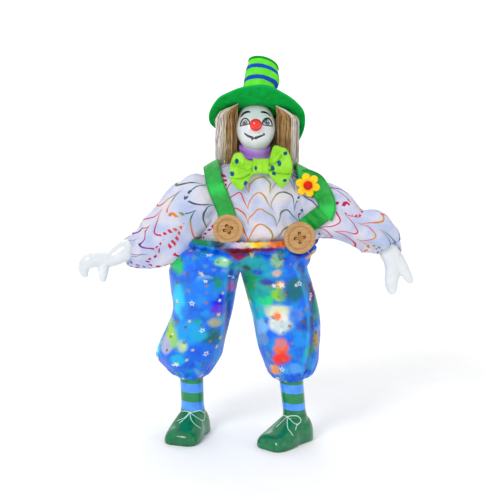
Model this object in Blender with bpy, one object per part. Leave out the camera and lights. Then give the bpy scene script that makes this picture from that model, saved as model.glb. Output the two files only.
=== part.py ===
# A clown doll that stands on its own two shoes: glazed porcelain head, arms and legs,
# a printed cloth shirt, baggy printed trousers, satin ribbons, wooden buttons and a felt hat.
# Metres, +Z up, and the doll looks to -Y. Right and left are the doll's own: its right is at -X.

import math

import bmesh
import bpy
import numpy as np
from mathutils import Matrix, Vector
from mathutils.bvhtree import BVHTree

# Air left between two pieces that touch
GAP = 0.0003

# Head: one porcelain casting of egg, ball nose and neck, tipped back to look up
HEAD_CENTRE = (0.0023, 0.0010, 0.1305)
HEAD_PITCH = 37.0
HEAD_HALF_WIDTH = 0.0079
HEAD_TOP = 0.0117
HEAD_CHIN = 0.0097
HEAD_FRONT = 0.0073
HEAD_BACK = 0.0085
NOSE_RADIUS = 0.00255
NOSE_DROP = 0.0029
NOSE_SUNK = 0.0010
NECK_CENTRE = (0.0020, 0.0008)
NECK_RADIUS = 0.0054
NECK_BOTTOM = 0.1130

# Hat: felt brim with its front turned up, tall striped crown, round felt tip
HAT_SEAT = 0.0074
HAT_BACKSET = 0.0005
HAT_SIDE_SHIFT = 0.0008
HAT_ROLL = 4.0
HAT_OPENING_RADIUS = 0.0071
BRIM_RADIUS = 0.0196
BRIM_THICKNESS = 0.0010
BRIM_CURL_POWER = 1.4
BRIM_CURL_DEGREES = (8, -2, -16, -36, -26, -17, -14, -1)
CROWN_WALL = 0.0008
CROWN_HEIGHT = 0.0214
CROWN_LEAN = 0.0012
CROWN_TIP_TILT = 13.0
CROWN_TIP_DROP = 0.0009
CROWN_ROWS = (
    # share of the height, outer radius
    (0.00, 0.0083),
    (0.18, 0.0074),
    (0.50, 0.0069),
    (0.80, 0.0067),
    (1.00, 0.0061),
)
TIP_OVERHANG = 0.0002
TIP_THICKNESS = 0.0007

# Wig: a curtain of locks round the sides and back of the head
HAIR_CENTRE = (0.0029, 0.0032)
HAIR_HALF_WIDTH = 0.0169
HAIR_HALF_DEPTH = 0.0118
HAIR_INNER_HALF_WIDTH = HEAD_HALF_WIDTH + 0.0010
HAIR_INNER_HALF_DEPTH = 0.0078
HAIR_BOTTOM = 0.1150
HAIR_TOP = 0.1420
HAIR_FRONT_ANGLE = 118.0
HAIR_LOCKS = 13
HAIR_LOCK_DEPTH = 0.0008
HAIR_TOP_TAPER = 0.70

# Satin ribbon round the neck
COLLAR_BOTTOM = 0.1180
COLLAR_TOP = 0.1236
RIBBON_THICKNESS = 0.0005

# Shirt body: height, centre across, centre in depth, half width, half depth
SHIRT_ROWS = (
    (0.0842, 0.0002, -0.0030, 0.0222, 0.0102),
    (0.0880, 0.0044, -0.0026, 0.0268, 0.0106),
    (0.0920, 0.0048, -0.0020, 0.0260, 0.0108),
    (0.0975, 0.0042, -0.0014, 0.0236, 0.0106),
    (0.1040, 0.0040, -0.0008, 0.0220, 0.0098),
    (0.1095, 0.0036, -0.0002, 0.0216, 0.0090),
    (0.1132, 0.0030, 0.0003, 0.0184, 0.0080),
    (0.1158, 0.0024, 0.0006, 0.0122, 0.0073),
    (0.1176, 0.0020, 0.0007, 0.0072, 0.0067),
)
# Sleeves: centre across, in depth and in height, half thickness in depth, half thickness in height
RIGHT_SLEEVE_ROWS = (
    (-0.0100, 0.0000, 0.1020, 0.0078, 0.0085),
    (-0.0205, -0.0008, 0.0992, 0.0094, 0.0110),
    (-0.0305, -0.0026, 0.0902, 0.0098, 0.0109),
    (-0.0385, -0.0046, 0.0840, 0.0088, 0.0090),
    (-0.0448, -0.0064, 0.0822, 0.0066, 0.0073),
    (-0.0490, -0.0078, 0.0816, 0.0050, 0.0053),
)
LEFT_SLEEVE_ROWS = (
    (0.0150, 0.0000, 0.1020, 0.0078, 0.0085),
    (0.0265, -0.0008, 0.0976, 0.0092, 0.0101),
    (0.0345, -0.0024, 0.0950, 0.0092, 0.0091),
    (0.0415, -0.0042, 0.0916, 0.0072, 0.0068),
    (0.0482, -0.0060, 0.0899, 0.0080, 0.0084),
    (0.0528, -0.0076, 0.0866, 0.0066, 0.0073),
    (0.0553, -0.0086, 0.0832, 0.0050, 0.0053),
)
SLEEVE_FOLDS = 5
SLEEVE_FOLD_DEPTH = 0.07
CUFF_SOCKET_DEPTH = 0.0060

# Arms: forearm, mitten fingers and thumb; centre, half thickness across and through the palm
RIGHT_FOREARM_ROWS = (
    (-0.0452, -0.0066, 0.0832, 0.0038, 0.0038),
    (-0.0500, -0.0082, 0.0818, 0.0042, 0.0043),
    (-0.0560, -0.0100, 0.0788, 0.0031, 0.0033),
    (-0.0610, -0.0113, 0.0788, 0.0030, 0.0033),
    (-0.0648, -0.0121, 0.0783, 0.0028, 0.0031),
    (-0.0668, -0.0125, 0.0763, 0.0023, 0.0026),
    (-0.0670, -0.0126, 0.0738, 0.0016, 0.0019),
    (-0.0662, -0.0126, 0.0719, 0.0009, 0.0010),
)
RIGHT_THUMB_ROWS = (
    (-0.0590, -0.0112, 0.0786, 0.0026, 0.0028),
    (-0.0593, -0.0117, 0.0750, 0.0022, 0.0023),
    (-0.0595, -0.0122, 0.0720, 0.0017, 0.0018),
    (-0.0595, -0.0125, 0.0698, 0.0009, 0.0010),
)
LEFT_FOREARM_ROWS = (
    (0.0526, -0.0076, 0.0870, 0.0038, 0.0038),
    (0.0557, -0.0088, 0.0826, 0.0040, 0.0042),
    (0.0579, -0.0100, 0.0780, 0.0033, 0.0040),
    (0.0578, -0.0110, 0.0735, 0.0026, 0.0033),
    (0.0573, -0.0118, 0.0693, 0.0021, 0.0028),
    (0.0577, -0.0122, 0.0660, 0.0015, 0.0020),
    (0.0580, -0.0123, 0.0645, 0.0008, 0.0009),
)
LEFT_THUMB_ROWS = (
    (0.0592, -0.0106, 0.0792, 0.0026, 0.0030),
    (0.0620, -0.0112, 0.0748, 0.0021, 0.0024),
    (0.0642, -0.0118, 0.0712, 0.0015, 0.0018),
    (0.0654, -0.0121, 0.0692, 0.0009, 0.0010),
)

# Trousers: both legs share the rows above the crotch and meet on the seam plane
SEAM_X = -0.0039
TROUSER_WAIST_ROWS = (
    # height, overlap of the two leg ovals, centre in depth, half depth, right half width, left half width
    (0.0874, 0.00, -0.0032, 0.0143, 0.0218, 0.0310),
    (0.0852, 0.00, -0.0032, 0.0147, 0.0224, 0.0317),
    (0.0824, 0.03, -0.0032, 0.0132, 0.0212, 0.0288),
    (0.0806, 0.14, -0.0034, 0.0140, 0.0226, 0.0260),
    (0.0775, 0.42, -0.0034, 0.0144, 0.0196, 0.0202),
    (0.0738, 0.82, -0.0032, 0.0138, 0.0156, 0.0153),
    (0.0706, 1.00, -0.0030, 0.0132, 0.0145, 0.0139),
)
# height, inner edge's distance from the seam plane, centre in depth, half depth, half width
RIGHT_TROUSER_ROWS = (
    (0.0630, 0.0016, -0.0020, 0.0124, 0.0133),
    (0.0540, 0.0033, -0.0006, 0.0116, 0.0120),
    (0.0456, 0.0053, 0.0012, 0.0115, 0.0123),
    (0.0388, 0.0071, 0.0028, 0.0115, 0.0128),
    (0.0336, 0.0086, 0.0038, 0.0112, 0.0126),
    (0.0284, 0.0118, 0.0046, 0.0084, 0.0090),
    (0.0242, 0.0151, 0.0050, 0.0057, 0.0057),
)
LEFT_TROUSER_ROWS = (
    (0.0620, 0.0024, -0.0040, 0.0126, 0.0139),
    (0.0525, 0.0050, -0.0050, 0.0120, 0.0134),
    (0.0450, 0.0066, -0.0053, 0.0116, 0.0126),
    (0.0400, 0.0078, -0.0054, 0.0110, 0.0117),
    (0.0340, 0.0103, -0.0050, 0.0102, 0.0102),
    (0.0298, 0.0120, -0.0046, 0.0084, 0.0086),
    (0.0262, 0.0149, -0.0045, 0.0057, 0.0057),
)
WAISTBAND_WALL = 0.0014
WAIST_RECESS = 0.0038
TROUSER_PLEATS = 6
TROUSER_PLEAT_DEPTH = 0.06
TROUSER_CUFF_SOCKET = 0.0066

# Porcelain legs: striped sock and shoe in one casting
SOCK_TOP_RADIUS = 0.0050
SOCK_ANKLE_RADIUS = 0.0047
SHOE_LENGTH = 0.0250
SHOE_TOE_WIDTH = 0.0152
SHOE_HEEL_WIDTH = 0.0139
SHOE_TOE_HEIGHT = 0.0071
SHOE_HEEL_REACH = 0.0070
SHOE_ANKLE_HEIGHT = 0.0112
RIGHT_ANKLE = (-0.0241, 0.0030)
RIGHT_SOCK_TOP = (-0.0247, 0.0050, 0.0302)
RIGHT_SHOE_TURN = 18.0
LEFT_ANKLE = (0.0186, -0.0058)
LEFT_SOCK_TOP = (0.0164, -0.0045, 0.0322)
LEFT_SHOE_TURN = 42.0

# Bow tie: gathered strip and the band round its middle
BOW_CENTRE = (0.0043, -0.0098, 0.1169)
BOW_ROWS = (
    # across from the middle, up, half height, half depth
    (-0.0127, -0.0020, 0.0022, 0.0009),
    (-0.0117, -0.0017, 0.0045, 0.0017),
    (-0.0096, -0.0016, 0.0067, 0.0023),
    (-0.0073, -0.0020, 0.0071, 0.0023),
    (-0.0052, -0.0018, 0.0040, 0.0018),
    (-0.0035, -0.0002, 0.0018, 0.0009),
    (0.0000, 0.0000, 0.0018, 0.0009),
    (0.0033, 0.0002, 0.0018, 0.0009),
    (0.0048, 0.0006, 0.0060, 0.0018),
    (0.0066, 0.0006, 0.0073, 0.0023),
    (0.0088, -0.0005, 0.0079, 0.0023),
    (0.0108, -0.0002, 0.0060, 0.0018),
    (0.0123, -0.0006, 0.0020, 0.0009),
)
BOW_SLANT = 0.20
KNOT_LENGTH = 0.0060
KNOT_HALF_HEIGHT = 0.0028
KNOT_HALF_DEPTH = 0.0019
KNOT_THICKNESS = 0.0005

# Braces: satin ribbon from the front button over the shoulder to the waist at the back
BRACE_WIDTH = 0.0068
BRACE_SAG = 0.0003
BRACE_SHOULDER_RISE = 0.0007
BRACE_FRONT_STEPS = 8
BRACE_SHOULDER_STEPS = 6
BRACE_BACK_STEPS = 5
BRACE_SUBSTEPS = 4
RIGHT_BRACE_FRONT = ((-0.0085, 0.0930), (-0.0106, 0.0990), (-0.0140, 0.1060))
RIGHT_BRACE_BACK = ((-0.0140, 0.1040), (-0.0108, 0.0965), (-0.0090, 0.0902))
RIGHT_BRACE_AXIS = (0.0000, 0.1040)
LEFT_BRACE_FRONT = (
    (0.0198, 0.0930),
    (0.0248, 0.0940),
    (0.0288, 0.0968),
    (0.0292, 0.1012),
    (0.0266, 0.1056),
)
LEFT_BRACE_BACK = ((0.0180, 0.1040), (0.0142, 0.0965), (0.0122, 0.0902))
LEFT_BRACE_AXIS = (0.0000, 0.1040)

# Wooden buttons, four holes each, sewn on with crossed thread
RIGHT_BUTTON = (-0.0088, 0.0925)
LEFT_BUTTON = (0.0196, 0.0890)
RIGHT_BUTTON_RADIUS = 0.0060
LEFT_BUTTON_RADIUS = 0.0065
BUTTON_THICKNESS = 0.0020
BUTTON_RIM_WIDTH = 0.0015
BUTTON_RIM_DEPTH = 0.0005
BUTTON_HOLE_RADIUS = 0.00052
BUTTON_HOLE_SPACING = 0.0026
THREAD_RADIUS = 0.00030
LEFT_BUTTON_TURN = 14.0

# Flower pinned on the left brace
FLOWER_CENTRE = (0.0232, 0.1092)
FLOWER_RADIUS = 0.0050
PETAL_COUNT = 6
PETAL_THICKNESS = 0.0013
FLOWER_EYE_RADIUS = 0.0018

# Facets round each kind of shape
HEAD_SIDES = 22
BALL_SIDES = 12
HAT_SIDES = 28
HAIR_STEPS = 26
TORSO_SIDES = 24
SLEEVE_SIDES = 15
TROUSER_STEPS = 18
ARM_SIDES = 10
SHOE_SIDES = 16
BOW_SIDES = 15
BUTTON_SIDES = 20


def smooth_rows(rows, count, closed=False):
    """Reads count rows along a Catmull-Rom curve through the given rows."""
    rows = np.asarray(rows, float)
    spans = len(rows) if closed else len(rows) - 1
    if closed:
        padded = rows[np.arange(-1, spans + 2) % spans]
    else:
        padded = np.vstack([2 * rows[0] - rows[1], rows, 2 * rows[-1] - rows[-2]])
    place = np.linspace(0, spans, count, endpoint=not closed)
    first = np.minimum(place.astype(int), spans - 1)
    share = (place - first)[:, None]
    p0, p1, p2, p3 = (padded[first + k] for k in range(4))
    return 0.5 * (
        2 * p1
        + (p2 - p0) * share
        + (2 * p0 - 5 * p1 + 4 * p2 - p3) * share**2
        + (3 * p1 - p0 - 3 * p2 + p3) * share**3
    )


def material(name, colour, roughness, metallic=0.0):
    """A Principled BSDF of one plain colour, made once."""
    found = bpy.data.materials.get(name)
    if found:
        return found
    made = bpy.data.materials.new(name)
    made.use_nodes = True
    shader = made.node_tree.nodes["Principled BSDF"]
    shader.inputs["Base Color"].default_value = (*colour, 1)
    shader.inputs["Roughness"].default_value = roughness
    shader.inputs["Metallic"].default_value = metallic
    made.diffuse_color = (*colour, 1)
    return made


def porcelain():
    return material("porcelain", (0.86, 0.88, 0.88), 0.12)


def solid(name, points, faces, finish, sharp_degrees=40):
    """One closed mesh object with its faces turned outwards."""
    mesh = bpy.data.meshes.new(name)
    mesh.from_pydata([tuple(p) for p in points], [], faces)
    work = bmesh.new()
    work.from_mesh(mesh)
    bmesh.ops.remove_doubles(work, verts=work.verts, dist=0.000002)
    bmesh.ops.recalc_face_normals(work, faces=work.faces)
    if work.calc_volume(signed=True) < 0:
        bmesh.ops.reverse_faces(work, faces=work.faces)
    work.to_mesh(mesh)
    work.free()
    mesh.shade_smooth()
    mesh.set_sharp_from_angle(angle=math.radians(sharp_degrees))
    made = bpy.data.objects.new(name, mesh)
    bpy.context.scene.collection.objects.link(made)
    if finish:
        made.data.materials.append(finish)
    return made


def loft(rings, start=None, end=None):
    """Points and faces of a skin over rings of equal length, closed by a flat cap or by an end point."""
    sides = len(rings[0])
    points = [tuple(p) for ring in rings for p in ring]
    faces = []
    for row in range(len(rings) - 1):
        for k in range(sides):
            a, b = row * sides + k, row * sides + (k + 1) % sides
            faces.append((a, b, b + sides, a + sides))
    last = (len(rings) - 1) * sides
    for tip, base in ((start, 0), (end, last)):
        if tip is None:
            faces.append(tuple(range(base, base + sides)))
            continue
        points.append(tuple(tip))
        faces += [(base + k, base + (k + 1) % sides, len(points) - 1) for k in range(sides)]
    return points, faces


def tube_rings(rows, sides, folds=0, fold_depth=0.0, end_swell=0.0):
    """Oval rings square to a path. A row is centre x, y, z, half depth and half height of the oval."""
    rows = np.asarray(rows, float)
    heading = np.gradient(rows[:, :3], axis=0)
    heading /= np.linalg.norm(heading, axis=1)[:, None]
    across = np.cross(heading, np.cross((0.0, 1.0, 0.0), heading))
    across /= np.linalg.norm(across, axis=1)[:, None]
    upward = np.cross(heading, across)
    turn = np.linspace(0, 2 * math.pi, sides, endpoint=False)
    along = np.linspace(0, 1, len(rows))
    rings = []
    for k, row in enumerate(rows):
        swell = 1 + fold_depth * (0.4 + along[k] + end_swell) * np.cos(folds * turn + 4 * along[k])
        ring = row[:3] + np.outer(np.cos(turn) * swell * row[3], across[k])
        rings.append(ring + np.outer(np.sin(turn) * swell * row[4], upward[k]))
    return rings


def tube(name, rows, count, sides, finish, **folds):
    """A closed oval tube through rows, read at count stations."""
    return solid(name, *loft(tube_rings(smooth_rows(rows, count), sides, **folds)), finish)


def helper(obj):
    """Marks a cutter or a half of a join, which isn't a piece of the doll."""
    obj.hide_render = True
    obj.display_type = "WIRE"
    return obj


def boolean(obj, other, operation):
    """Joins other to obj, or cuts it away."""
    modifier = obj.modifiers.new(f"{operation.lower()} {other.name}", "BOOLEAN")
    modifier.operation = operation
    modifier.solver = "EXACT"
    modifier.object = helper(other)
    return obj


def shown_mesh(obj):
    """The points, normals and faces of an object as its modifiers leave it."""
    graph = bpy.context.evaluated_depsgraph_get()
    evaluated = obj.evaluated_get(graph)
    mesh = evaluated.to_mesh()
    points = [obj.matrix_world @ v.co for v in mesh.vertices]
    normals = [obj.matrix_world.to_3x3() @ v.normal for v in mesh.vertices]
    faces = [tuple(p.vertices) for p in mesh.polygons]
    evaluated.to_mesh_clear()
    return points, normals, faces


def clearance(obj, gap=GAP):
    """A cutter that is obj swollen by gap."""
    points, normals, faces = shown_mesh(obj)
    return helper(
        solid(f"{obj.name}_clearance", [p + n * gap for p, n in zip(points, normals)], faces, None)
    )


def surface_tree(*objects):
    """A ray target made of several objects as shown."""
    points, faces = [], []
    for obj in objects:
        some, _, shown = shown_mesh(obj)
        faces += [tuple(k + len(points) for k in face) for face in shown]
        points += some
    return BVHTree.FromPolygons(points, faces)


def head_frame(roll=0.0):
    """Turns a vector of the head's own frame into the doll's frame."""
    return Matrix.Rotation(math.radians(roll), 3, "Y") @ Matrix.Rotation(-math.radians(HEAD_PITCH), 3, "X")


def placed(points, turn, origin):
    """Points of a local frame, turned and moved."""
    return [turn @ Vector(p) + Vector(origin) for p in points]


def ball_rings(radii, latitudes, sides, centre=(0, 0, 0)):
    """Rings of a ball whose half sizes are radii = (across, front, back, up, down)."""
    across, front, back, up, down = radii
    turn = np.linspace(0, 2 * math.pi, sides, endpoint=False)
    depth = np.where(np.sin(turn) < 0, front, back)
    rings = []
    for latitude in latitudes:
        reach, level = math.cos(latitude), math.sin(latitude)
        ring = np.empty((sides, 3))
        ring[:, 0] = centre[0] + across * reach * np.cos(turn)
        ring[:, 1] = centre[1] + depth * reach * np.sin(turn)
        ring[:, 2] = centre[2] + (up if level > 0 else down) * level
        rings.append(ring)
    return rings


def make_head():
    """Egg, ball nose and neck joined as one casting."""
    turn = head_frame()
    latitudes = np.radians(np.linspace(-76, 76, 11))
    egg = ball_rings(
        (HEAD_HALF_WIDTH, HEAD_FRONT, HEAD_BACK, HEAD_TOP, HEAD_CHIN), latitudes, HEAD_SIDES
    )
    points, faces = loft(egg, (0, 0, -HEAD_CHIN), (0, 0, HEAD_TOP))
    head = solid("head", placed(points, turn, HEAD_CENTRE), faces, porcelain())
    nose_centre = (0, -(HEAD_FRONT + NOSE_RADIUS - NOSE_SUNK - 0.0006), -NOSE_DROP)
    nose_rings = ball_rings([NOSE_RADIUS] * 5, np.radians(np.linspace(-62, 62, 5)), BALL_SIDES, nose_centre)
    tips = [(0, nose_centre[1], nose_centre[2] + side * NOSE_RADIUS) for side in (-1, 1)]
    points, faces = loft(nose_rings, *tips)
    boolean(head, solid("nose_join", placed(points, turn, HEAD_CENTRE), faces, None), "UNION")
    neck_rows = [
        (*NECK_CENTRE, NECK_BOTTOM, NECK_RADIUS, NECK_RADIUS),
        (*NECK_CENTRE, HEAD_CENTRE[2] - 0.3 * HEAD_CHIN, NECK_RADIUS, NECK_RADIUS),
    ]
    boolean(head, tube("neck_join", neck_rows, 2, HEAD_SIDES, None), "UNION")
    return head


def hat_origin():
    """The middle of the hat's opening, in the doll's frame."""
    return Vector(HEAD_CENTRE) + head_frame() @ Vector((HAT_SIDE_SHIFT, HAT_BACKSET, HAT_SEAT))


def brim_height(angle_count, share):
    """How high the brim stands at each angle from the front, at a share of its width."""
    curl = smooth_rows([[c] for c in BRIM_CURL_DEGREES], angle_count, closed=True)[:, 0]
    width = BRIM_RADIUS - HAT_OPENING_RADIUS
    return width * np.tan(np.radians(curl)) * share**BRIM_CURL_POWER


def brim_ring(radius, lift, sides=HAT_SIDES):
    """A ring of the brim's surface at a radius, in the hat's own frame."""
    share = max(0.0, (radius - HAT_OPENING_RADIUS) / (BRIM_RADIUS - HAT_OPENING_RADIUS))
    turn = np.linspace(0, 2 * math.pi, sides, endpoint=False)
    return np.column_stack(
        [radius * np.sin(turn), -radius * np.cos(turn), brim_height(sides, share) + lift]
    )


def closed_sleeve(rings):
    """Points and faces of a skin that runs round from the last ring back to the first."""
    sides = len(rings[0])
    points = [tuple(p) for ring in rings for p in ring]
    faces = []
    for row in range(len(rings)):
        below = (row + 1) % len(rings) * sides
        for k in range(sides):
            after = (k + 1) % sides
            faces.append((row * sides + k, row * sides + after, below + after, below + k))
    return points, faces


def make_hat():
    """Brim, crown and tip; the crown is a tube open to the head."""
    turn, origin = head_frame(HAT_ROLL), hat_origin()
    radii = np.linspace(HAT_OPENING_RADIUS, BRIM_RADIUS, 4)
    half = BRIM_THICKNESS / 2
    rings = [brim_ring(r, half) for r in radii] + [brim_ring(r, -half) for r in radii[::-1]]
    points, faces = closed_sleeve(rings)
    felt = material("green_felt", (0.02, 0.42, 0.06), 0.95)
    brim = solid("hat_brim", placed(points, turn, origin), faces, felt)

    slope = math.tan(math.radians(CROWN_TIP_TILT))

    def crown_ring(share, shrink):
        rows = np.asarray(CROWN_ROWS)
        radius = np.interp(share, rows[:, 0], rows[:, 1]) - shrink
        around = np.linspace(0, 2 * math.pi, HAT_SIDES, endpoint=False)
        base = half + GAP
        return np.column_stack(
            [
                radius * np.sin(around) + CROWN_LEAN * share**2,
                -radius * np.cos(around),
                base + CROWN_HEIGHT * share - share**2 * (slope * radius * np.sin(around) + CROWN_TIP_DROP),
            ]
        )

    shares = [row[0] for row in CROWN_ROWS]
    rings = [crown_ring(s, 0) for s in shares] + [crown_ring(s, CROWN_WALL) for s in (1.0, 0.5, 0.0)]
    points, faces = closed_sleeve(rings)
    lime = material("lime_felt", (0.22, 0.90, 0.10), 0.9)
    crown = solid("hat_crown", placed(points, turn, origin), faces, lime)

    edge = crown_ring(1.0, -TIP_OVERHANG) + (0, 0, GAP)
    middle = edge.mean(0)
    inner = middle + 0.55 * (edge - middle) + (0, 0, 0.0005)
    tip_points, tip_faces = loft([edge, edge + (0, 0, TIP_THICKNESS), inner + (0, 0, TIP_THICKNESS)])
    tip = solid("hat_tip", placed(tip_points, turn, origin), tip_faces, felt)
    return brim, crown, tip


def hat_shadow():
    """A cutter that holds all the space over the brim's underside."""
    below = -BRIM_THICKNESS / 2 - GAP
    radii = (0.002, 0.6 * HAT_OPENING_RADIUS, HAT_OPENING_RADIUS, 0.014, BRIM_RADIUS, 1.25 * BRIM_RADIUS)
    rings = [brim_ring(r, below) for r in radii]
    top = rings[-1].copy()
    top[:, 2] = 2 * BRIM_RADIUS
    points, faces = loft(rings + [top])
    return helper(solid("hat_shadow", placed(points, head_frame(HAT_ROLL), hat_origin()), faces, None))


def make_hair(others, resting):
    """A curtain of locks between the brim and the shoulders, open at the face."""
    angles = np.radians(np.linspace(-HAIR_FRONT_ANGLE, HAIR_FRONT_ANGLE, HAIR_STEPS + 1))
    centre = np.array(HAIR_CENTRE)
    lock = HAIR_LOCK_DEPTH * np.cos(np.arange(HAIR_STEPS + 1) * math.pi * 2 * HAIR_LOCKS / HAIR_STEPS)
    inner = np.column_stack(
        [centre[0] + HAIR_INNER_HALF_WIDTH * np.sin(angles), centre[1] + HAIR_INNER_HALF_DEPTH * np.cos(angles)]
    )[::-3]
    rings = []
    for level in np.linspace(0, 1, 5):
        spread = 1 - HAIR_TOP_TAPER * max(0.0, level - 0.3) ** 2
        outer = np.column_stack(
            [
                centre[0] + (HAIR_HALF_WIDTH * spread + lock) * np.sin(angles),
                centre[1] + (HAIR_HALF_DEPTH * spread + lock) * np.cos(angles),
            ]
        )
        ring = np.vstack([outer, inner])
        bottom = []
        for k, (x, y) in enumerate(ring):
            hit = resting.ray_cast(Vector((x, y, HAIR_TOP)), Vector((0, 0, -1)))[0]
            ragged = HAIR_BOTTOM + 0.0006 * math.cos(2.4 * k)
            bottom.append(ragged if hit is None else max(ragged, hit.z + 3 * GAP))
        bottom = np.array(bottom)
        bottom = np.maximum(bottom, np.maximum(np.roll(bottom, 1), np.roll(bottom, -1)) - 0.0008)
        rings.append(np.column_stack([ring, bottom + level * (HAIR_TOP - bottom)]))
    hair = solid("hair", *loft(rings), material("hair", (0.45, 0.32, 0.17), 0.7))
    for other in others:
        boolean(hair, other, "DIFFERENCE")
    return hair


def make_collar(head):
    """Satin ribbon wound round the neck, its top edge tucked under the chin."""
    inner = NECK_RADIUS + GAP
    tree = surface_tree(head)
    turn = np.linspace(0, 2 * math.pi, HEAD_SIDES, endpoint=False)

    def around(radius):
        return NECK_CENTRE[0] + radius * np.cos(turn), NECK_CENTRE[1] + radius * np.sin(turn)

    top = np.full(HEAD_SIDES, COLLAR_TOP)
    for radius in (inner + 0.2 * GAP, inner + 1.6 * RIBBON_THICKNESS):
        for k, (x, y) in enumerate(zip(*around(radius))):
            hit = tree.ray_cast(Vector((x, y, 0.0)), Vector((0, 0, 1)))[0]
            if hit is not None:
                top[k] = min(top[k], hit.z - 1.5 * GAP)
    top = (np.roll(top, 1) + top + np.roll(top, -1)) / 3
    rings = []
    for radius, level in (
        (inner, 0.0),
        (inner + RIBBON_THICKNESS, 0.0),
        (inner + 1.6 * RIBBON_THICKNESS, 0.5),
        (inner + RIBBON_THICKNESS, 1.0),
        (inner, 1.0),
    ):
        height = COLLAR_BOTTOM + level * (top - COLLAR_BOTTOM)
        rings.append(np.column_stack([*around(radius), height]))
    points, faces = closed_sleeve(rings)
    return solid("collar_ribbon", points, faces, material("purple_satin", (0.36, 0.14, 0.62), 0.3))


def make_arm(name, forearm_rows, thumb_rows):
    """Forearm running out into mitten fingers, with the thumb joined on."""
    arm = tube(name, forearm_rows, 12, ARM_SIDES, porcelain())
    return boolean(arm, tube(f"{name}_thumb_join", thumb_rows, 6, ARM_SIDES - 2, None), "UNION")


def shoe_rings():
    """Upright slices of a shoe from heel to toe, the ankle over the origin and the toe to -Y."""
    heel = SHOE_HEEL_REACH
    slices = (
        # share of the length, share of the widest, height, how far the side stands out at mid height
        (0.00, 0.42 * SHOE_HEEL_WIDTH, 0.62 * SHOE_ANKLE_HEIGHT),
        (0.06, 0.80 * SHOE_HEEL_WIDTH, 0.86 * SHOE_ANKLE_HEIGHT),
        (0.20, SHOE_HEEL_WIDTH, 0.98 * SHOE_ANKLE_HEIGHT),
        (0.42, 0.94 * SHOE_HEEL_WIDTH, SHOE_ANKLE_HEIGHT),
        (0.56, 0.5 * (SHOE_HEEL_WIDTH + SHOE_TOE_WIDTH), 0.82 * SHOE_ANKLE_HEIGHT),
        (0.74, SHOE_TOE_WIDTH, SHOE_TOE_HEIGHT),
        (0.90, 0.94 * SHOE_TOE_WIDTH, 0.78 * SHOE_TOE_HEIGHT),
        (0.98, 0.72 * SHOE_TOE_WIDTH, 0.50 * SHOE_TOE_HEIGHT),
        (1.00, 0.48 * SHOE_TOE_WIDTH, 0.30 * SHOE_TOE_HEIGHT),
    )
    turn = np.linspace(0, math.pi, SHOE_SIDES - 3)
    rings = []
    for share, width, height in slices:
        side = np.sign(np.cos(turn)) * np.abs(np.cos(turn)) ** 0.75
        upper = np.column_stack([side * width / 2, 0.0008 + np.sin(turn) ** 0.85 * (height - 0.0008)])
        sole = np.array([(-0.45 * width, 0.0), (0.0, 0.0), (0.45 * width, 0.0)])
        outline = np.vstack([upper, sole])
        y = np.full(len(outline), heel - share * SHOE_LENGTH)
        rings.append(np.column_stack([outline[:, 0], y, outline[:, 1]]))
    return rings


def sock_ring(ankle, sock_top, level, radius, sides):
    """A level ring round the sock's leaning middle line."""
    share = (level - SHOE_ANKLE_HEIGHT) / (sock_top[2] - SHOE_ANKLE_HEIGHT)
    turn = np.linspace(-math.pi, math.pi, sides, endpoint=False)
    x = ankle[0] + share * (sock_top[0] - ankle[0]) + radius * np.cos(turn)
    y = ankle[1] + share * (sock_top[1] - ankle[1]) - radius * np.sin(turn)
    return np.column_stack([x, y, np.full(sides, level)])


def make_leg(name, ankle, sock_top, turn_degrees):
    """Shoe and striped sock cast together; the sock runs up into the trouser cuff."""
    turn = Matrix.Rotation(-math.radians(turn_degrees), 3, "Z")
    points, faces = loft(shoe_rings())
    leg = solid(name, placed(points, turn, (*ankle, 0)), faces, porcelain())
    rings = [
        sock_ring(ankle, sock_top, level, radius, SHOE_SIDES)
        for level, radius in (
            (0.45 * SHOE_ANKLE_HEIGHT, SOCK_ANKLE_RADIUS),
            (1.2 * SHOE_ANKLE_HEIGHT, SOCK_ANKLE_RADIUS),
            (sock_top[2], SOCK_TOP_RADIUS),
        )
    ]
    return boolean(leg, solid(f"{name}_sock_join", *loft(rings), None), "UNION")


def trouser_row(side, height, overlap, inner, depth_centre, half_depth, half_width, pleat):
    """One leg's line of points at a height: an arc from the back seam to the front one, or a whole oval."""
    reach = math.acos(-overlap)
    turn = np.linspace(-reach, reach, TROUSER_STEPS + 1)
    fade = np.minimum(1.0, 4 * (1 - np.abs(turn) / max(reach, 1e-6)))
    swell = 1 + pleat * np.cos(TROUSER_PLEATS * turn) * fade
    x = SEAM_X + side * (inner + half_width * (overlap + np.cos(turn) * swell))
    y = depth_centre - half_depth * np.sin(turn) * swell
    return np.column_stack([x, y, np.full(len(turn), height)])


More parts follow.
